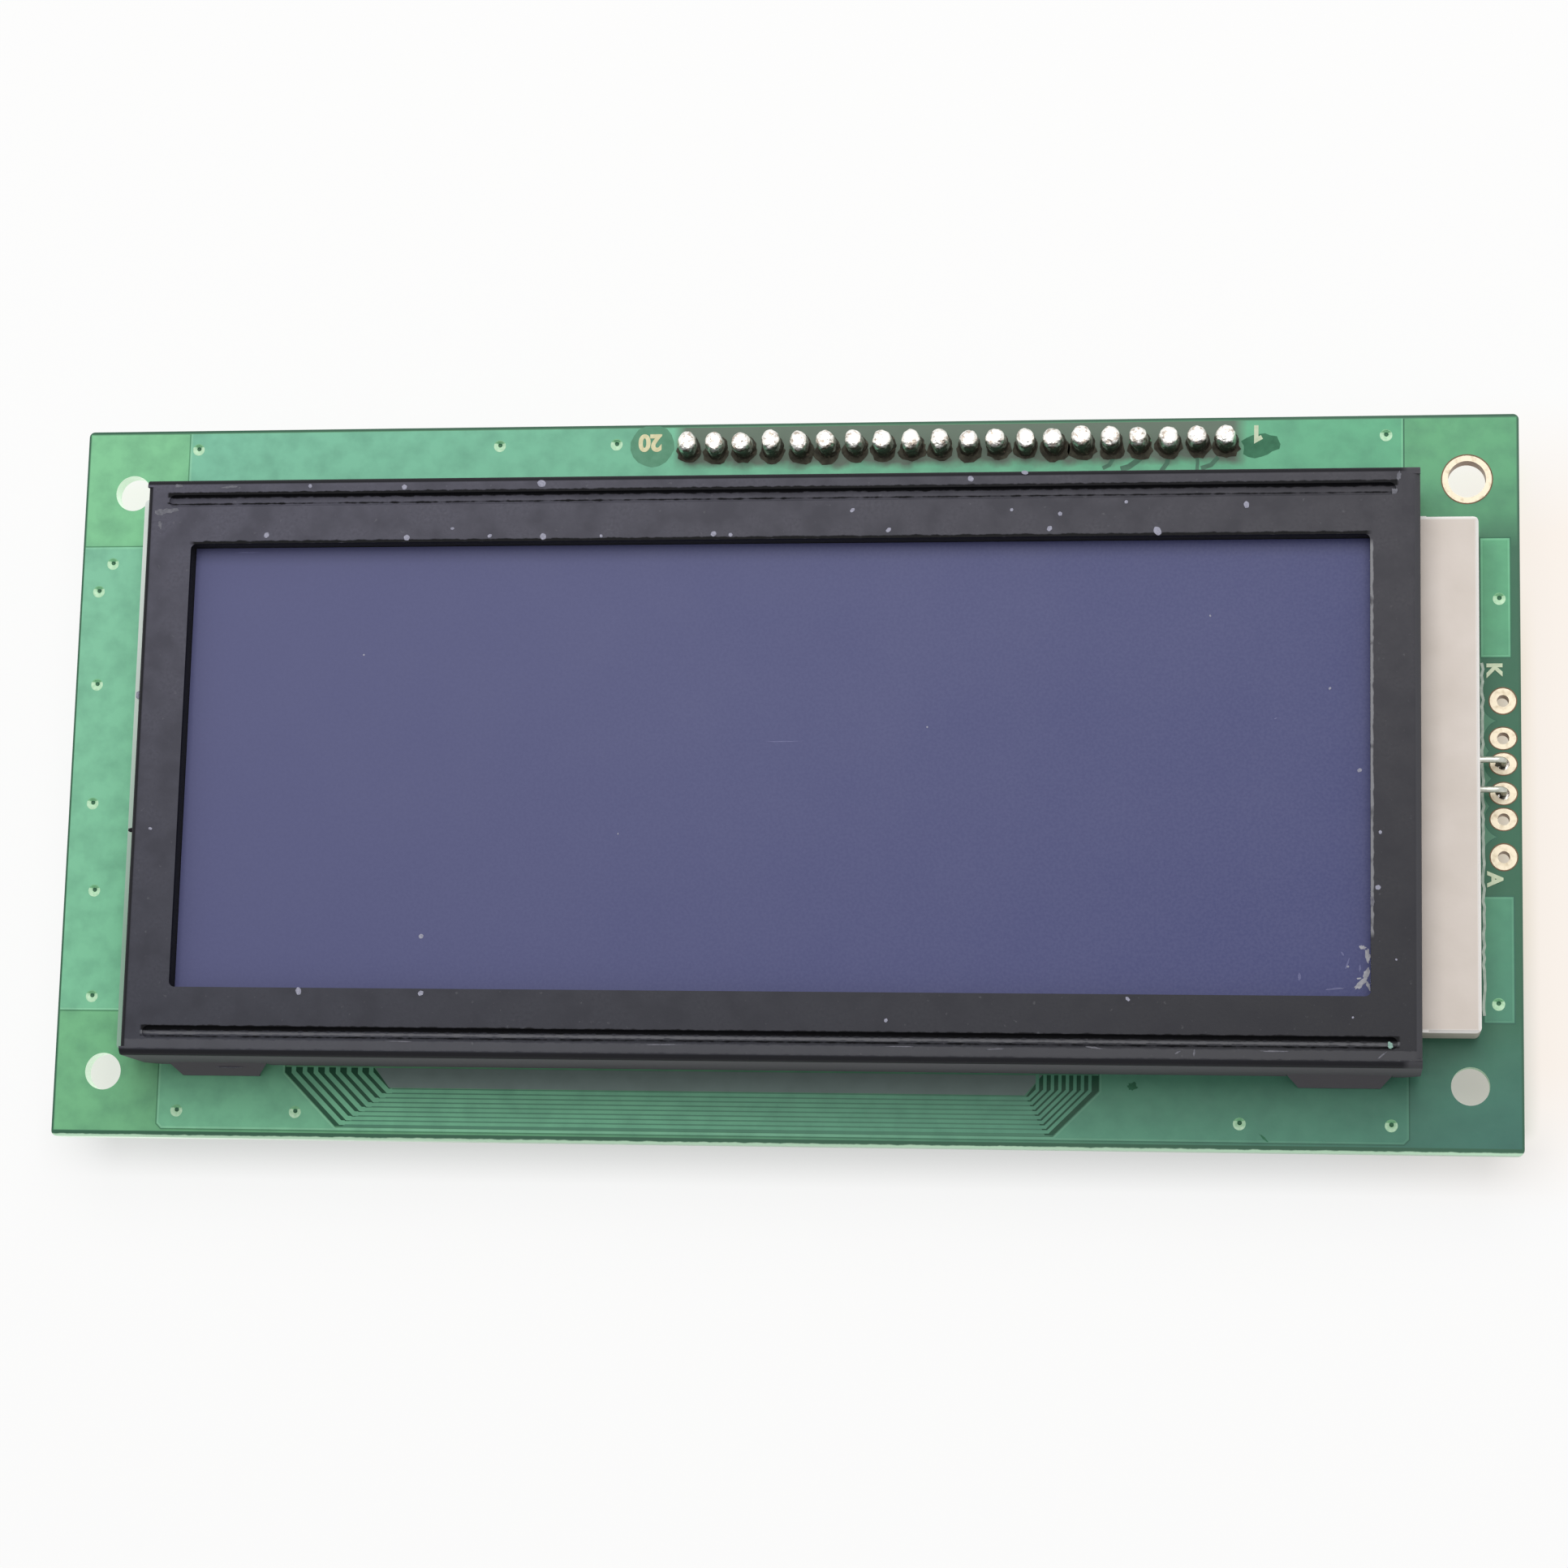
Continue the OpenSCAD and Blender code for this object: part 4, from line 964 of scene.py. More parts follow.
@dataclass
class Board(Dressed):
    """Green board: lacquer, copper fills, tracks, plated lands and printed marks."""

    looks: Looks = (
        (Finishes.MASK, ("pcb",)),
        (Finishes.GOLD, ("mount_ring", "backlight_pads")),
    )
    slot: str = "solder_mask"
    back: float = -1.6
    copper_t: float = 0.045
    edge_t: float = 0.012
    rim_t: float = 0.03
    bed_t: float = 0.02
    ink_t: float = 0.08
    # Widths of each fill's painted shadow edge and painted highlight rim.
    edge_w: float = 0.12
    rim_w: float = 0.18
    clip_x: float = -64.8
    clip_y: float = 32.2
    via_r: float = 0.6
    via_hole_r: float = 0.2
    via_shaft_r: float = 0.285
    via_lap: float = 0.06
    via_facets: int = 24
    via_lit: float = 0.55
    via_dish: float = 0.65
    via_shift: Triple = (0.02, 0.1, 0.0)
    pad_x: float = 63.45
    pad_rows: Tuple[Triple, ...] = (
        (6.85, 1.75, 1.0), (3.55, 1.55, 0.845), (1.3, 1.55, 0.845),
    )
    pad_r: float = 1.125
    ring_place: Place = (60.5, 26.65)
    ring_r: float = 2.15
    line_w: float = 0.1
    line_t: float = 0.03
    line_facets: int = 40
    header_y: float = 30.3
    pin_right: float = 39.53
    pin_pitch: float = 2.54
    pin_count: int = 20
    pin_clear: float = 1.0
    top_box: Box = (-55.4, 55.1, 25.0, 32.9)
    left_box: Box = (-65.3, -57.9, -21.25, 21.7)
    upper_box: Box = (61.5, 64.25, 10.62, 21.43)
    lower_box: Box = (61.6, 64.35, -21.3, -10.2)
    pads_box: Box = (61.5, 62.95, -7.6, 7.6)
    bottom_half: float = 55.4
    bottom_y: float = -31.8
    bottom_cut: float = 0.5
    bezel_y: float = -25.0
    track_count: int = 8
    track_w: float = 0.29
    track_low: float = -31.0
    track_pitch: float = 0.41
    track_clear: float = 0.32
    track_lap: float = 0.1
    fan_track_w: float = 0.4
    fan_top: float = -26.0
    fan_run: float = 0.4
    fan_lift: float = 0.002
    fan_left_y: float = -26.55
    fan_left: float = -42.85
    fan_left_pitch: float = 1.01
    fan_left_clear: float = 0.72
    fan_right_y: float = -27.4
    fan_right: float = 28.05
    fan_right_pitch: float = 0.65
    fan_right_clear: float = 0.7
    bed: Tuple[Place, ...] = ((24.6, -31.4), (-38.5, -31.4), (-34.0, -27.9), (22.6, -27.9))
    left_fan: Tuple[Place, ...] = (
        (-43.65, -26.1), (-43.65, -26.55), (-38.9, -31.3), (-38.2, -31.3), (-33.9, -28.0), (-35.5, -26.1),
    )
    right_fan: Tuple[Place, ...] = (
        (28.8, -26.1), (28.8, -27.4), (24.9, -31.3), (24.2, -31.3), (22.5, -28.0), (23.9, -26.1),
    )
    band: Tuple[Place, ...] = ((23.9, -26.1), (22.4, -27.85), (-34.1, -27.85), (-35.4, -26.1))
    one_path: Tuple[Place, ...] = ((42.15, 31.75), (42.15, 30.4), (42.65, 30.68))
    one_w: float = 0.38
    vias: Tuple[Place, ...] = (
        (-54.5, 30.7), (-26.2, 30.7), (-15.4, 30.7), (53.5, 30.7), (-62.1, 20.0), (-63.3, 17.4), (-63.0, 8.7),
        (-62.8, -2.3), (-62.2, -10.3), (-61.9, -19.9), (-53.5, -30.1), (-42.6, -30.1), (40.9, -30.1),
        (53.8, -30.1), (63.2, 15.9), (62.9, -19.6),
    )

    def pins(self) -> Sequence[Place]:
        """Middle of each header hole, from the right."""
        return [(self.pin_right - i * self.pin_pitch, self.header_y) for i in range(self.pin_count)]

    def pads(self) -> Sequence[Tuple[Place, float, float]]:
        """Middle, clearance and share of its full height of each backlight pad."""
        return [((self.pad_x, side * y), clear, tall) for y, clear, tall in self.pad_rows for side in (1, -1)]

    def fill(self, name: str, outline: Outline, holes: Sequence[Round] = (), clearances: Sequence[Round] = (),
             finish: Finish = Finishes.COPPER, rim: Finish = Finishes.COPPER_RIM_HIGHLIGHT,
             blocks: Sequence[Outline] = ()) -> None:
        """Build one copper fill under the lacquer: a dark edge line of painted shadow, a pale rim of painted
        highlight inside it, and the raised fill.

        Args:
            name: the piece's name.
            outline: the fill's corners.
            holes: centre and radius of each plain hole.
            clearances: centre and radius of each round that has an edge and a rim too.
            finish: lacquer on the fill.
            rim: lacquer on its rim, paler where it paints a highlight.
            blocks: outlines of the parts that stand up, where a narrow neck is all rim.
        """
        whole = bmesh.new()
        # The edge layer is painted shadow and the rim layer a painted highlight along the fill's outline.
        layers = (
            (self.edge_t, 0.0, (outline,)),
            (self.rim_t, self.edge_w, (outline,)),
            (self.copper_t, self.edge_w + self.rim_w, blocks or (outline,)),
        )
        for number, (height, shrink, parts) in enumerate(layers):
            layer = bmesh.new()
            for part in parts:
                plate(layer, part, 0.0, height, shrink)
            layer = drill(layer, list(holes) + [(place, radius + shrink) for place, radius in clearances])
            for face in layer.faces:
                face.material_index = number
            merge(whole, layer)
        for vert in whole.verts:
            vert.co.x = max(vert.co.x, self.clip_x)
            vert.co.y = min(vert.co.y, self.clip_y)
        finished(name, whole, self.slot, Finishes.COPPER_EDGE_SHADOW, rim, finish)

    def bottom_fill(self, holes: Sequence[Round]) -> None:
        """Build the fill along the bottom edge, cut out in a trough for the tracks."""
        half, top, low, cut = self.bottom_half, self.bezel_y, self.bottom_y, self.bottom_cut
        outer = [(-half, top), (-half, low + cut), (cut - half, low),
                 (half - cut, low), (half, low + cut), (half, top)]
        left, right = self.fan_left - self.fan_left_clear, self.fan_right + self.fan_right_clear
        floor = self.track_low - self.track_clear
        right_slope, left_slope = right - self.fan_right_y, left + self.fan_left_y
        trough = [(right, top), (right, self.fan_right_y), (right_slope + floor, floor),
                  (left_slope - floor, floor), (left, self.fan_left_y), (left, top)]
        blocks = (outer[:3] + [(left_slope - low, low)] + trough[4:],
                  trough[:2] + [(right_slope + low, low)] + outer[3:])
        self.fill("copper_bottom", outer + trough, holes, blocks=blocks)

    def fills(self) -> None:
        """Build the copper fills that show round the bezel."""
        holes = [(place, self.via_r - self.via_lap) for place in self.vias]
        joints = [(place, self.pin_clear) for place in self.pins()]
        self.fill("copper_top", box_outline(*self.top_box), holes + joints, finish=Finishes.FLUXED)
        self.fill("copper_left", box_outline(*self.left_box), holes)
        self.fill("copper_right_upper", box_outline(*self.upper_box), holes)
        self.fill("copper_right_lower", box_outline(*self.lower_box), holes)
        clearances = [(place, clear) for place, clear, _ in self.pads()]
        self.fill("copper_pads", box_outline(*self.pads_box), (), clearances, Finishes.DULL_COPPER,
                  Finishes.DULL_COPPER)
        self.bottom_fill(holes)

    def via_plugs(self) -> None:
        """Build the vias: a lacquered dish with a painted highlight on its lower side, painted shade on the
        rest of its ring and a dark middle of painted shade towards the top, a shaft and a rear land.
        """
        shape = bmesh.new()
        r, hole, shaft, back = self.via_r, self.via_hole_r, self.via_shaft_r, self.back
        profile = [
            (0.0, -0.14), (0.6 * hole, -0.12), (hole, -0.06), (0.6 * r, 0.03), (0.76 * r, 0.06),
            (0.9 * r, 0.055), (r, 0.0), (shaft, 0.0), (shaft, back), (0.88 * r, back),
            (0.86 * r, back - 0.06), (0.5 * r, back - 0.06), (0.0, back + 0.1),
        ]
        for x, y in self.vias:
            plug = turned(profile, self.via_facets)
            for face in plug.faces:
                middle = face.calc_center_median()
                # Painted light: faces on the ring's lower side take the lit copy, the rest the shaded copy,
                # and the middle the dark painted shade.
                lit = middle.y < self.via_lit * middle.xy.length
                face.material_index = 2 if middle.xy.length < hole else 0 if lit else 1
            for vert in plug.verts:
                if vert.co.z > back / 2 and vert.co.xy.length < self.via_dish * r:
                    vert.co += Vector(self.via_shift)
            bmesh.ops.translate(plug, vec=(x, y, 0), verts=plug.verts)
            merge(shape, plug)
        piece = finished("via_plugs", shape, "via_plating", Finishes.VIA_LIT, Finishes.VIA_LAND_SHADED,
                         Finishes.VIA_HOLE_SHADE)
        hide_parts("vias")

    def pad_edges(self) -> None:
        """Build the thin brown line round each plated pad and round the ring of the corner hole."""
        shape = bmesh.new()
        rings = [(place, self.pad_r, tall) for place, _, tall in self.pads()]
        for place, radius, tall in rings + [(self.ring_place, self.ring_r, 1.0)]:
            outer = radius + self.line_w
            section = [(radius, 0.0), (radius, self.line_t), (outer, self.line_t), (outer, 0.0)]
            ring = turned(section, self.line_facets, closed=True)
            bmesh.ops.transform(ring, matrix=placed((*place, 0.0), (1.0, tall, 1.0), 0.0), verts=ring.verts)
            merge(shape, ring)
        finished("pad_edges", shape, "gold_plating", Finishes.PAD_EDGE)

    def tracks(self) -> None:
        """Build the tracks that run along the bottom edge and fan out at both ends."""
        shape = bmesh.new()
        for i in range(self.track_count):
            y = self.track_low + i * self.track_pitch
            left = self.fan_left + i * self.fan_left_pitch
            right = self.fan_right - i * self.fan_right_pitch
            level = [(left + self.fan_left_y - y - self.track_lap, y),
                     (right - self.fan_right_y + y + self.track_lap, y)]
            plate(shape, strip_outline(level, self.track_w), 0.0, self.copper_t)
            for end, bend, way, width in ((left, self.fan_left_y, 1, self.fan_track_w),
                                          (right, self.fan_right_y, -1, self.track_w)):
                drop = bend - y
                fan = [(end, self.fan_top), (end, bend), (end + way * drop, y),
                       (end + way * (drop + self.fan_run), y)]
                plate(shape, strip_outline(fan, width), 0.0, self.copper_t + self.fan_lift)
        finished("copper_tracks", shape, self.slot, Finishes.COPPER)

    def beds(self) -> None:
        """Build the darker lacquer between the tracks and the grey band above them."""
        for name, outlines, lift, finish in (
            ("track_bed", (self.bed,), 0.0, Finishes.BED),
            ("fan_beds", (self.left_fan, self.right_fan), 0.004, Finishes.FAN_BED),
            ("grey_band", (self.band,), 0.01, Finishes.BARE_BAND),
        ):
            shape = bmesh.new()
            for outline in outlines:
                plate(shape, outline, 0.0, self.bed_t + lift)
            finished(name, shape, self.slot, finish)

    def marks(self) -> None:
        """Print the header's pin numbers and the letters of the backlight's pads."""
        for name, text, height, place, turn, finish in (
            ("mark_pin_twenty", "20", 2.1, (-12.3, 30.9), 180.0, Finishes.INK),
            ("mark_cathode", "K", 1.78, (62.68, 9.62), -90.0, Finishes.PALE_INK),
            ("mark_anode", "A", 1.78, (62.62, -8.78), -90.0, Finishes.PALE_INK),
        ):
            shape = bmesh.new()
            lettering(shape, text, height, place, turn, self.ink_t)
            finished(name, shape, self.slot, finish)
        shape = bmesh.new()
        plate(shape, strip_outline(self.one_path, self.one_w), 0.0, self.ink_t)
        finished("mark_pin_one", shape, self.slot, Finishes.PALE_INK)

    def build(self) -> None:
        """Dress the board and build what lies on it."""
        super().build()
        self.via_plugs()
        self.pad_edges()
        self.fills()
        self.beds()
        self.tracks()
        self.marks()


@dataclass
class Display(Dressed):
    """Bezel and glass cell."""

    looks: Looks = (
        (Finishes.STEEL, ("bezel",)),
        # The black gasket stands in for the shade inside the window's recess.
        (Finishes.BLACK_FOAM_AND_SHADE, ("bezel_gasket",)),
        (Finishes.POLARISER, ("front_polariser",)),
        (Finishes.REAR_POLARISER, ("rear_polariser",)),
        (Finishes.GLASS, ("front_glass", "rear_glass")),
        (Finishes.ELASTOMER, ("upper_zebra_strip", "lower_zebra_strip")),
    )


@dataclass
class Backlight(Dressed):
    """White tray with its light path, strip of light sources and two wires."""

    looks: Looks = (
        (Finishes.TRAY, ("backlight_housing",)),
        (Finishes.WHITE_FILM, ("diffuser_film", "reflector_film")),
        (Finishes.ACRYLIC, ("light_guide",)),
        (Finishes.LAMINATE, ("led_board",)),
        (Finishes.LED, ("leds",)),
        (Finishes.WIRE, ("anode_lead", "cathode_lead")),
        (Finishes.SOLDER, ("lead_solder",)),
    )


@dataclass
class RearParts(Dressed):
    """Chips and packages behind the board."""

    looks: Looks = (
        (Finishes.RESIN, ("row_driver", "column_driver_left", "column_driver_middle", "column_driver_right")),
        (Finishes.PACKAGE, ("bias_amplifier", "voltage_converter")),
        (Finishes.RESISTOR, ("chip_resistors",)),
        (Finishes.CAPACITOR, ("chip_capacitors",)),
    )


@dataclass
class Header(Dressed):
    """Pin header behind the board and its row of solder joints in front."""

    looks: Looks = (
        (Finishes.HEADER, ("header_body",)),
        (Finishes.PIN, ("header_pins",)),
    )
    board: Board = field(default_factory=Board)
    rise: float = 2.6
    foot: float = 1.05
    waist: float = 0.84
    facets: int = 36
    lean: float = 0.14
    uneven: float = 0.1
    sink: float = 0.06
    flux_z: float = 0.045
    flux_t: float = 0.03
    streak_t: float = 0.015
    disc_top: float = 32.36
    tilt_y: Range = (-0.4, 1.0)
    swell_x: Range = (0.94, 1.06)
    swell_y: Range = (1.06, 1.18)
    swell_z: Range = (0.94, 1.0)
    key_span: float = 50.0
    wave_pitch: float = 1.1
    dent_pitch: float = 2.9
    sink_pitch: float = 2.4
    flux_aside: Range = (-0.15, 0.15)
    flux_below: Range = (0.35, 0.6)
    flux_w: Range = (2.2, 2.6)
    flux_h: Range = (1.9, 2.4)
    flux_ragged: float = 0.12
    seed: int = 11
    streaks: Tuple[Tuple[Tuple[Place, ...], float], ...] = (
        (((32.3, 29.2), (31.6, 28.6), (30.9, 28.1), (30.2, 27.9)), 0.5),
        (((34.4, 29.1), (34.3, 28.4), (33.8, 27.7)), 0.4),
        (((36.9, 29.2), (37.0, 28.4), (36.9, 27.2)), 0.3),
        (((38.8, 28.9), (38.2, 28.2), (37.3, 27.9)), 0.4),
        (((29.6, 29.0), (29.2, 28.3), (28.6, 28.0)), 0.35),
    )

    def joint(self, shape: BMesh, place: Place, chance: random.Random) -> None:
        """Add one uneven solder joint.

        Args:
            shape: the bmesh that takes it.
            place: middle of its hole.
            chance: source of its unevenness.
        """
        profile = [
            (0.0, 1.0), (0.3, 0.996), (0.6, 0.98), (0.8, 0.945), (0.94, 0.885), (1.0, 0.78), (1.0, 0.62),
            (1.0, 0.42), (1.01, 0.27), (1.05, 0.15), (1.14, 0.06), (self.foot / self.waist, 0.0),
        ]
        lump = turned([(self.waist * r, self.rise * z) for r, z in profile], self.facets)
        bmesh.ops.holes_fill(lump, edges=[edge for edge in lump.edges if edge.is_boundary], sides=0)
        tilt = Vector((chance.uniform(-1, 1), chance.uniform(*self.tilt_y), 0)) * self.lean
        swell = [chance.uniform(*share) for share in (self.swell_x, self.swell_y, self.swell_z)]
        key = Vector((chance.uniform(0, self.key_span), chance.uniform(0, self.key_span), 0))
        for vert in lump.verts:
            point = vert.co.copy()
            wave = noise.noise(point * self.wave_pitch + key)
            dent = noise.noise(point * self.dent_pitch + key)
            vert.co = Vector(part * share for part, share in zip(point, swell))
            vert.co += tilt * (point.z / self.rise)
            vert.co += Vector((point.x, point.y, 0)) * (self.uneven * (wave + dent))
            vert.co.z *= 1 - self.sink * max(0.0, noise.noise(point * self.sink_pitch - key))
        bmesh.ops.translate(lump, vec=(*place, 0), verts=lump.verts)
        merge(shape, lump)

    def flux(self) -> None:
        """Build the dark patches just below the joints' feet, and the flux streaks and stains that ran from
        the joints.
        """
        chance = random.Random(self.seed + 1)
        shape = bmesh.new()
        for x, y in self.board.pins():
            place = (x + chance.uniform(*self.flux_aside), y - chance.uniform(*self.flux_below), self.flux_z)
            size = (chance.uniform(*self.flux_w), chance.uniform(*self.flux_h), self.flux_t)
            blot(shape, placed(place, size, 0.0), chance, self.flux_ragged)
        finished("dark_patches_below_joints", shape, "solder", Finishes.DARK_PATCHES)
        shape = bmesh.new()
        for path, width in self.streaks:
            plate(shape, strip_outline(path, width), self.flux_z, self.flux_z + self.streak_t)
        finished("flux_streaks", shape, "solder", Finishes.HAZE)
        for name, finish, place, size, turn, ragged in (
            ("flux_stain", Finishes.STAIN, (42.5, 29.95), (3.3, 2.1, 0.012), 8.0, 0.16),
            ("lacquer_disc", Finishes.DISC, (-12.1, 30.55), (4.0, 4.0, 0.01), 0.0, 0.03),
        ):
            shape = bmesh.new()
            blot(shape, placed((*place, self.flux_z), size, turn), chance, ragged)
            for vert in shape.verts:
                vert.co.y = min(vert.co.y, self.disc_top)
            finished(name, shape, "solder_mask", finish)

    def build(self) -> None:
        """Dress the header and build the uneven joints that stand for the even ones."""
        super().build()
        shape = bmesh.new()
        chance = random.Random(self.seed)
        for place in self.board.pins():
            self.joint(shape, place, chance)
        piece = finished("header_joints", shape, "solder", Finishes.JOINT, crease=60.0)
        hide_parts("header_solder")
        self.flux()


@dataclass
class Wear:
    """Dust, scuffs, scratches and torn film that the module carries, and painted shadow where its wires enter
    their pads.
    """

    face: float = 9.0
    film: float = 7.2
    lacquer: float = 0.045
    seed: int = 5
    speck_t: float = 0.1
    patch_t: float = 0.015
    patch_step: float = 0.001
    patch_sink: float = 0.005
    patch_ragged: float = 0.3
    speck_long: Range = (1.0, 1.4)
    speck_wide: Range = (0.8, 1.2)
    bezel_specks: Tuple[Triple, ...] = (
        (17.7, 24.9, 0.5), (-20.3, 24.9, 0.65), (-32.7, 24.7, 0.55), (31.2, 22.7, 0.3), (41.5, 22.35, 0.6),
        (7.4, 22.2, 0.45), (21.3, 22.1, 0.3), (25.5, 21.7, 0.4), (-28.2, 20.9, 0.32), (10.6, 20.4, 0.45),
        (24.6, 20.4, 0.42), (33.9, 20.1, 0.7), (-4.8, 20.2, 0.5), (-45.1, 20.45, 0.45), (-24.8, 20.2, 0.42),
        (-20.0, 20.1, 0.68), (-3.3, 20.1, 0.4), (-32.3, 20.1, 0.55), (-14.8, 20.1, 0.3), (52.8, -6.1, 0.32),
        (52.6, -10.8, 0.42), (-40.3, -20.3, 0.6), (-29.4, -20.4, 0.6), (31.7, -20.4, 0.38),
        (11.2, -22.4, 0.3), (54.1, -16.9, 0.2), (50.5, -21.8, 0.2), (22.4, 25.4, 0.5),
        (-41.3, 24.9, 0.4), (-54.4, -6.0, 0.3),
    )
    film_specks: Tuple[Triple, ...] = (
        (48.6, 6.6, 0.26), (51.1, -0.5, 0.46), (-30.0, -15.2, 0.4), (50.1, -17.3, 0.22), (38.4, 13.0, 0.2),
        (-12.8, -6.1, 0.16), (14.1, 3.3, 0.18), (-36.2, 9.9, 0.18),
    )
    scuffs: Tuple[Patch, ...] = (
        (-54.4, 22.75, 1.9, 0.42, 5.0), (-55.0, 22.65, 0.9, 0.5, -10.0), (-53.4, 25.05, 0.8, 0.28, 0.0),
        (-54.95, 21.5, 0.3, 0.7, 10.0), (-48.7, 24.9, 1.4, 0.22, 4.0), (54.45, 24.75, 0.36, 0.7, -8.0),
        (54.05, 23.4, 0.5, 0.55, 20.0), (28.9, -24.55, 1.3, 0.16, -8.0), (52.9, -24.95, 0.9, 0.13, 38.0),
        (37.3, -24.9, 0.14, 0.6, -8.0), (35.9, -24.9, 0.6, 0.12, 30.0), (52.1, -12.0, 0.32, 0.8, 4.0),
        (12.4, -24.62, 2.6, 0.1, 0.0), (-8.0, -24.66, 3.4, 0.1, 1.0), (-31.0, -24.6, 2.4, 0.1, -1.0),
        (20.6, -24.75, 1.6, 0.1, 3.0), (44.0, -24.7, 2.2, 0.12, 0.0),
    )
    flecks: Tuple[Patch, ...] = ((53.57, -24.1, 0.42, 0.56, 15.0),)
    tears: Tuple[Patch, ...] = (
        (51.75, -16.4, 0.42, 1.1, 6.0), (51.62, -17.9, 0.5, 1.1, -24.0), (51.15, -18.75, 0.5, 1.15, -52.0),
        (51.8, -18.9, 0.28, 0.8, 22.0), (51.3, -15.65, 0.62, 0.3, -12.0), (51.0, -18.3, 0.4, 0.16, 10.0),
    )
    scratches: Tuple[Patch, ...] = (
        (1.5, 2.05, 3.2, 0.09, 1.0), (49.65, -16.2, 0.14, 0.4, 30.0), (50.05, -17.1, 0.14, 0.95, -20.0),
        (51.1, -17.4, 0.16, 0.6, 0.0), (46.05, -18.2, 0.24, 0.6, 0.0), (-47.2, 19.3, 2.4, 0.12, 0.0),
        (44.0, 4.0, 0.3, 0.1, 20.0), (49.0, -19.2, 1.8, 0.16, 6.0),
    )
    stains: Tuple[Patch, ...] = ((31.7, -27.0, 0.9, 0.75, 0.0), (43.0, -31.3, 1.0, 0.2, -40.0))
    # Painted shadow beside each backlight wire's end: middle, length, width and turn.
    wire_shadows: Tuple[Patch, ...] = (
        (63.1, 1.32, 0.75, 0.5, 15.0), (63.35, 1.1, 0.5, 0.42, 70.0),
        (63.1, -1.18, 0.75, 0.5, 15.0), (63.35, -1.4, 0.45, 0.4, 60.0),
    )
    wire_shadow_z: float = 0.06
    wire_shadow_t: Range = (0.05, 0.07)
    glue_x: float = 61.68
    glue_top: float = 10.2
    glue_step: float = 0.55
    glue_points: int = 57
    glue_w: float = 0.24
    glue_t: float = 0.1
    glue_stray: Range = (-0.06, 0.1)

    def specks(self) -> None:
        """Scatter the dust specks on the bezel and the film."""
        shape = bmesh.new()
        chance = random.Random(self.seed)
        for height, places in ((self.face, self.bezel_specks), (self.film, self.film_specks)):
            for x, y, size in places:
                length = size * chance.uniform(*self.speck_long)
                width = size * chance.uniform(*self.speck_wide)
                stretch = (length, width, self.speck_t)
                flake(shape, placed((x, y, height), stretch, chance.uniform(0, 180)))
        finished("dust_specks", shape, "black_steel", Finishes.DUST)

    def blots(self, name: str, finish: Finish, slot: str, height: float, places: Sequence[Patch]) -> None:
        """Build thin ragged patches on a surface.

        Args:
            name: the piece's name.
            finish: finish of the patches.
            slot: not used.
            height: height of the surface.
            places: middle, length, width and turn of each patch.
        """
        shape = bmesh.new()
        chance = random.Random(self.seed + len(places))
        for number, (x, y, length, width, turn) in enumerate(places):
            size = (length, width, self.patch_t + self.patch_step * number)
            blot(shape, placed((x, y, height - self.patch_sink), size, turn), chance, self.patch_ragged)
        finished(name, shape, slot, finish)

    def nubs(self) -> None:
        """Build the small burrs on the left side and the scratch on the lower left tab."""
        for name, finish, slot, place, size in (
            ("burr_white", Finishes.DUST, "white_housing", (-57.45, 6.8, 4.85), (0.55, 0.85, 0.5)),
            ("burr_black", Finishes.BLACK_FOAM_AND_SHADE, "black_steel", (-56.4, -6.0, 8.1), (0.7, 0.45, 0.5)),
            ("tab_scratch", Finishes.WORN, "black_steel", (-48.4, -26.28, 1.33), (3.0, 0.2, 0.16)),
        ):
            shape = bmesh.new()
            flake(shape, placed(place, size, 0.0))
            finished(name, shape, slot, finish)

    def glue(self) -> None:
        """Build the ragged pale line along the foot of the backlight's tail."""
        shape = bmesh.new()
        chance = random.Random(self.seed + 3)
        path = [(self.glue_x + chance.uniform(*self.glue_stray), self.glue_top - self.glue_step * i)
                for i in range(self.glue_points)]
        plate(shape, strip_outline(path, self.glue_w), 0.0, self.glue_t)
        finished("glue_line", shape, "white_housing", Finishes.GLUE)

    def wire_shade(self) -> None:
        """Build the painted shadow where the backlight's wires enter their pads."""
        shape = bmesh.new()
        chance = random.Random(self.seed + 9)
        for x, y, length, width, turn in self.wire_shadows:
            size = (length, width, chance.uniform(*self.wire_shadow_t))
            blot(shape, placed((x, y, self.wire_shadow_z), size, turn), chance)
        finished("wire_shadow", shape, "solder", Finishes.DARK_PATCHES)

    def build(self) -> None:
        """Build the marks of use and the painted shadow at the wires."""
        self.specks()
        self.blots("scuffs", Finishes.WORN, "black_steel", self.face, self.scuffs)
        self.blots("mint_fleck", Finishes.MINT, "black_steel", self.face, self.flecks)
        self.blots("torn_film", Finishes.TORN, "polariser", self.film, self.tears)
        self.blots("film_scratches", Finishes.SCRATCH, "polariser", self.film, self.scratches)
        self.blots("board_stains", Finishes.STAIN, "solder_mask", self.lacquer, self.stains)
        self.nubs()
        self.glue()
        self.wire_shade()


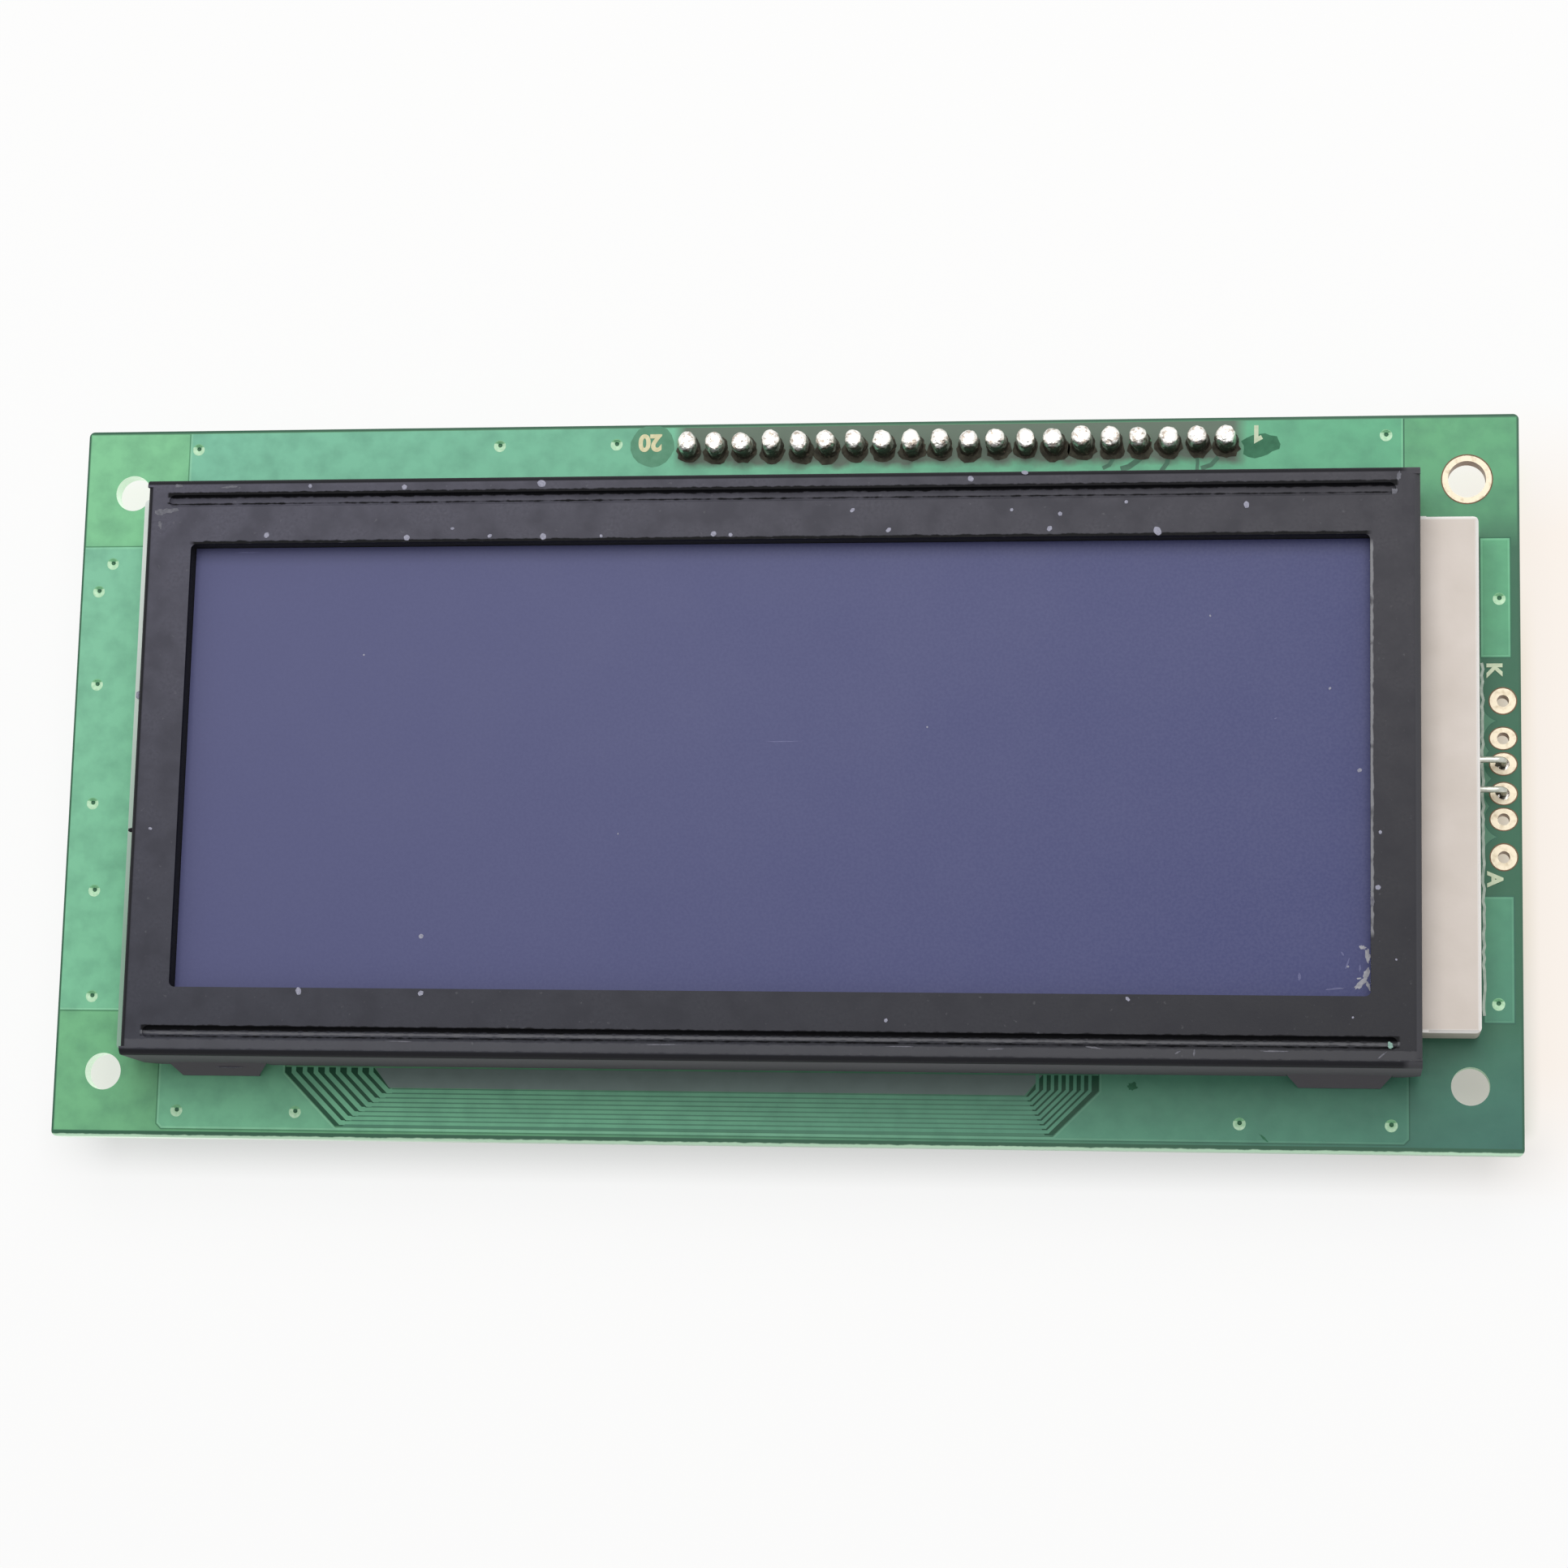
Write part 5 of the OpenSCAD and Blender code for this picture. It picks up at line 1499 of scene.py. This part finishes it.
@dataclass
class Studio:
    """Pale floor, soft light and the camera of the photograph."""

    eye: Triple = (48.22, -56.52, 330.32)
    right: Triple = (0.99008, 0.02381, -0.1385)
    up: Triple = (-0.0003, 0.9859, 0.16732)
    back: Triple = (0.14053, -0.16562, 0.97613)
    lens: float = 87.58
    sensor: float = 36.0
    nearest: float = 0.01
    floor_z: float = -10.14
    floor_size: float = 4000.0
    floor_glow: float = 0.86
    white: Colour = (1.0, 1.0, 1.0)
    pale: Colour = (0.9, 0.89, 0.87)
    pale_under: Colour = (0.88, 0.93, 0.8)
    pale_end: Colour = (0.9, 0.79, 0.65)
    glow_under: Colour = (0.97, 1.0, 0.93)
    glow_end: Colour = (0.97, 0.85, 0.7)
    warm: Colour = (1.0, 0.92, 0.85)
    under_x: Range = (67.0, 65.0)
    under_y: Range = (31.5, 29.5)
    low_y: Range = (10.0, -26.0)
    low_x: Range = (-60.0, 60.0)
    end_x: Range = (50.0, 62.0)
    end_out: Range = (67.0, 63.6)
    end_y: Range = (20.0, 12.0)
    shade_y: float = -31.5
    shade_w: Range = (4.0, 0.0)
    shade_x: Range = (70.0, 62.0)
    end_share: float = 0.5
    shade_share: float = 0.4
    warm_x: float = 72.0
    warm_w: Range = (26.0, 8.0)
    warm_y: Range = (37.0, 24.0)
    ambient: float = 0.42
    key_place: Triple = (20.0, 190.0, 470.0)
    key_size: float = 400.0
    key_power: float = 1.75

    def camera(self) -> None:
        """Set the camera where the photograph was taken."""
        data = bpy.data.cameras.new("camera")
        data.lens = self.lens
        data.sensor_width = self.sensor
        data.clip_start = self.nearest
        camera = linked("camera", data)
        turning = Matrix((self.right, self.up, self.back)).transposed().to_4x4()
        camera.matrix_world = Matrix.Translation(Vector(self.eye) * MM) @ turning
        bpy.context.scene.camera = camera

    def floor_finish(self) -> bpy.types.Material:
        """Pale paint that glows white to the camera, keeps the shadow and isn't seen from below, with painted
        shade under the board and along its lower edge, a painted green reflection under the board, and a
        painted beige tint and warm bounce at its right end.
        """
        shader = Shader("pale_floor")
        # Painted shade under the board, deeper towards the lower right and under its right end.
        under = shader.times(shader.ramp_off(Axis.X, 0.0, *self.under_x),
                             shader.ramp_off(Axis.Y, 0.0, *self.under_y))
        across = shader.linear(shader.ramp(Axis.X, *self.low_x), gain=0.4, start=0.2)
        low = shader.times(shader.ramp(Axis.Y, *self.low_y), across)
        end = shader.times(shader.ramp(Axis.X, *self.end_x), shader.ramp_off(Axis.Y, 0.0, *self.end_y),
                           shader.ramp(Axis.X, *self.end_out))
        # Painted shadow along the board's lower edge.
        shade = shader.times(shader.ramp_off(Axis.Y, self.shade_y, *self.shade_w),
                             shader.ramp_off(Axis.X, 0.0, *self.shade_x),
                             self.shade_share)
        painted_floor_shade = shader.most(shader.times(under, shader.most(low, shader.times(end, self.end_share))), shade)
        # Painted warm bounce light beside the board's right end.
        warmth = shader.times(shader.ramp_off(Axis.X, self.warm_x, *self.warm_w),
                              shader.ramp_off(Axis.Y, 0.0, *self.warm_y))
        # Painted green reflection under the board and a painted beige tint under its right end.
        paint = shader.mix(end, shader.mix(under, self.pale, self.pale_under), self.pale_end)
        shader.dress(base_color=paint, roughness=1.0, specular_ior_level=0.0)
        tint = shader.mix(warmth, shader.mix(under, self.white, self.glow_under), self.warm)
        glow = shader.add("Emission", {"Color": shader.mix(end, tint, self.glow_end)})
        share = shader.times(shader.math("SUBTRACT", 1.0, painted_floor_shade), self.floor_glow)
        lit = shader.add("MixShader", {0: shader.times(shader.seen(), share), 1: shader.principled.outputs[0],
                                       2: glow.outputs[0]})
        behind = shader.add("NewGeometry", {}).outputs["Backfacing"]
        clear = shader.add("BsdfTransparent", {})
        sided = shader.add("MixShader", {0: behind, 1: lit.outputs[0], 2: clear.outputs[0]})
        shader.put(shader.nodes["Material Output"].inputs["Surface"], sided.outputs[0])
        return shader.material

    def floor(self) -> None:
        """Lay the floor under the header's pins."""
        shape = bmesh.new()
        bmesh.ops.create_grid(shape, x_segments=1, y_segments=1, size=self.floor_size / 2 * MM)
        bmesh.ops.translate(shape, vec=(0, 0, self.floor_z * MM), verts=shape.verts)
        mesh = bpy.data.meshes.new("floor")
        shape.to_mesh(mesh)
        shape.free()
        mesh.materials.append(self.floor_finish())
        linked("floor", mesh)

    def light(self) -> None:
        """Hang one soft lamp above the top edge and light the rest from all round."""
        data = bpy.data.lights.new("key", "AREA")
        data.size = self.key_size * MM
        data.energy = self.key_power
        place = Vector(self.key_place) * MM
        turning = place.to_track_quat("Z", "Y").to_matrix().to_4x4()
        linked("key", data).matrix_world = Matrix.Translation(place) @ turning
        world = bpy.data.worlds.new("studio")
        world.use_nodes = True
        tree = Nodes(world.node_tree)
        strength = tree.add("MapRange", {"Value": tree.seen(), "To Min": self.ambient, "To Max": 1.0})
        background = tree.nodes["Background"]
        tree.put(background.inputs["Strength"], strength.outputs["Result"])
        tree.put(background.inputs["Color"], self.white)
        bpy.context.scene.world = world

    def build(self) -> None:
        """Set up the studio."""
        bpy.context.scene.view_settings.view_transform = "Standard"
        self.camera()
        self.floor()
        self.light()


def main() -> None:
    """Build the module's sub-assemblies in order."""
    logging.basicConfig(level=logging.INFO, format="%(message)s")
    board = Board()
    for part in (Studio(), board, Display(), Backlight(), Header(board=board), RearParts(), Wear()):
        log.info("building %s", type(part).__name__)
        part.build()


if __name__ == "__main__":
    main()
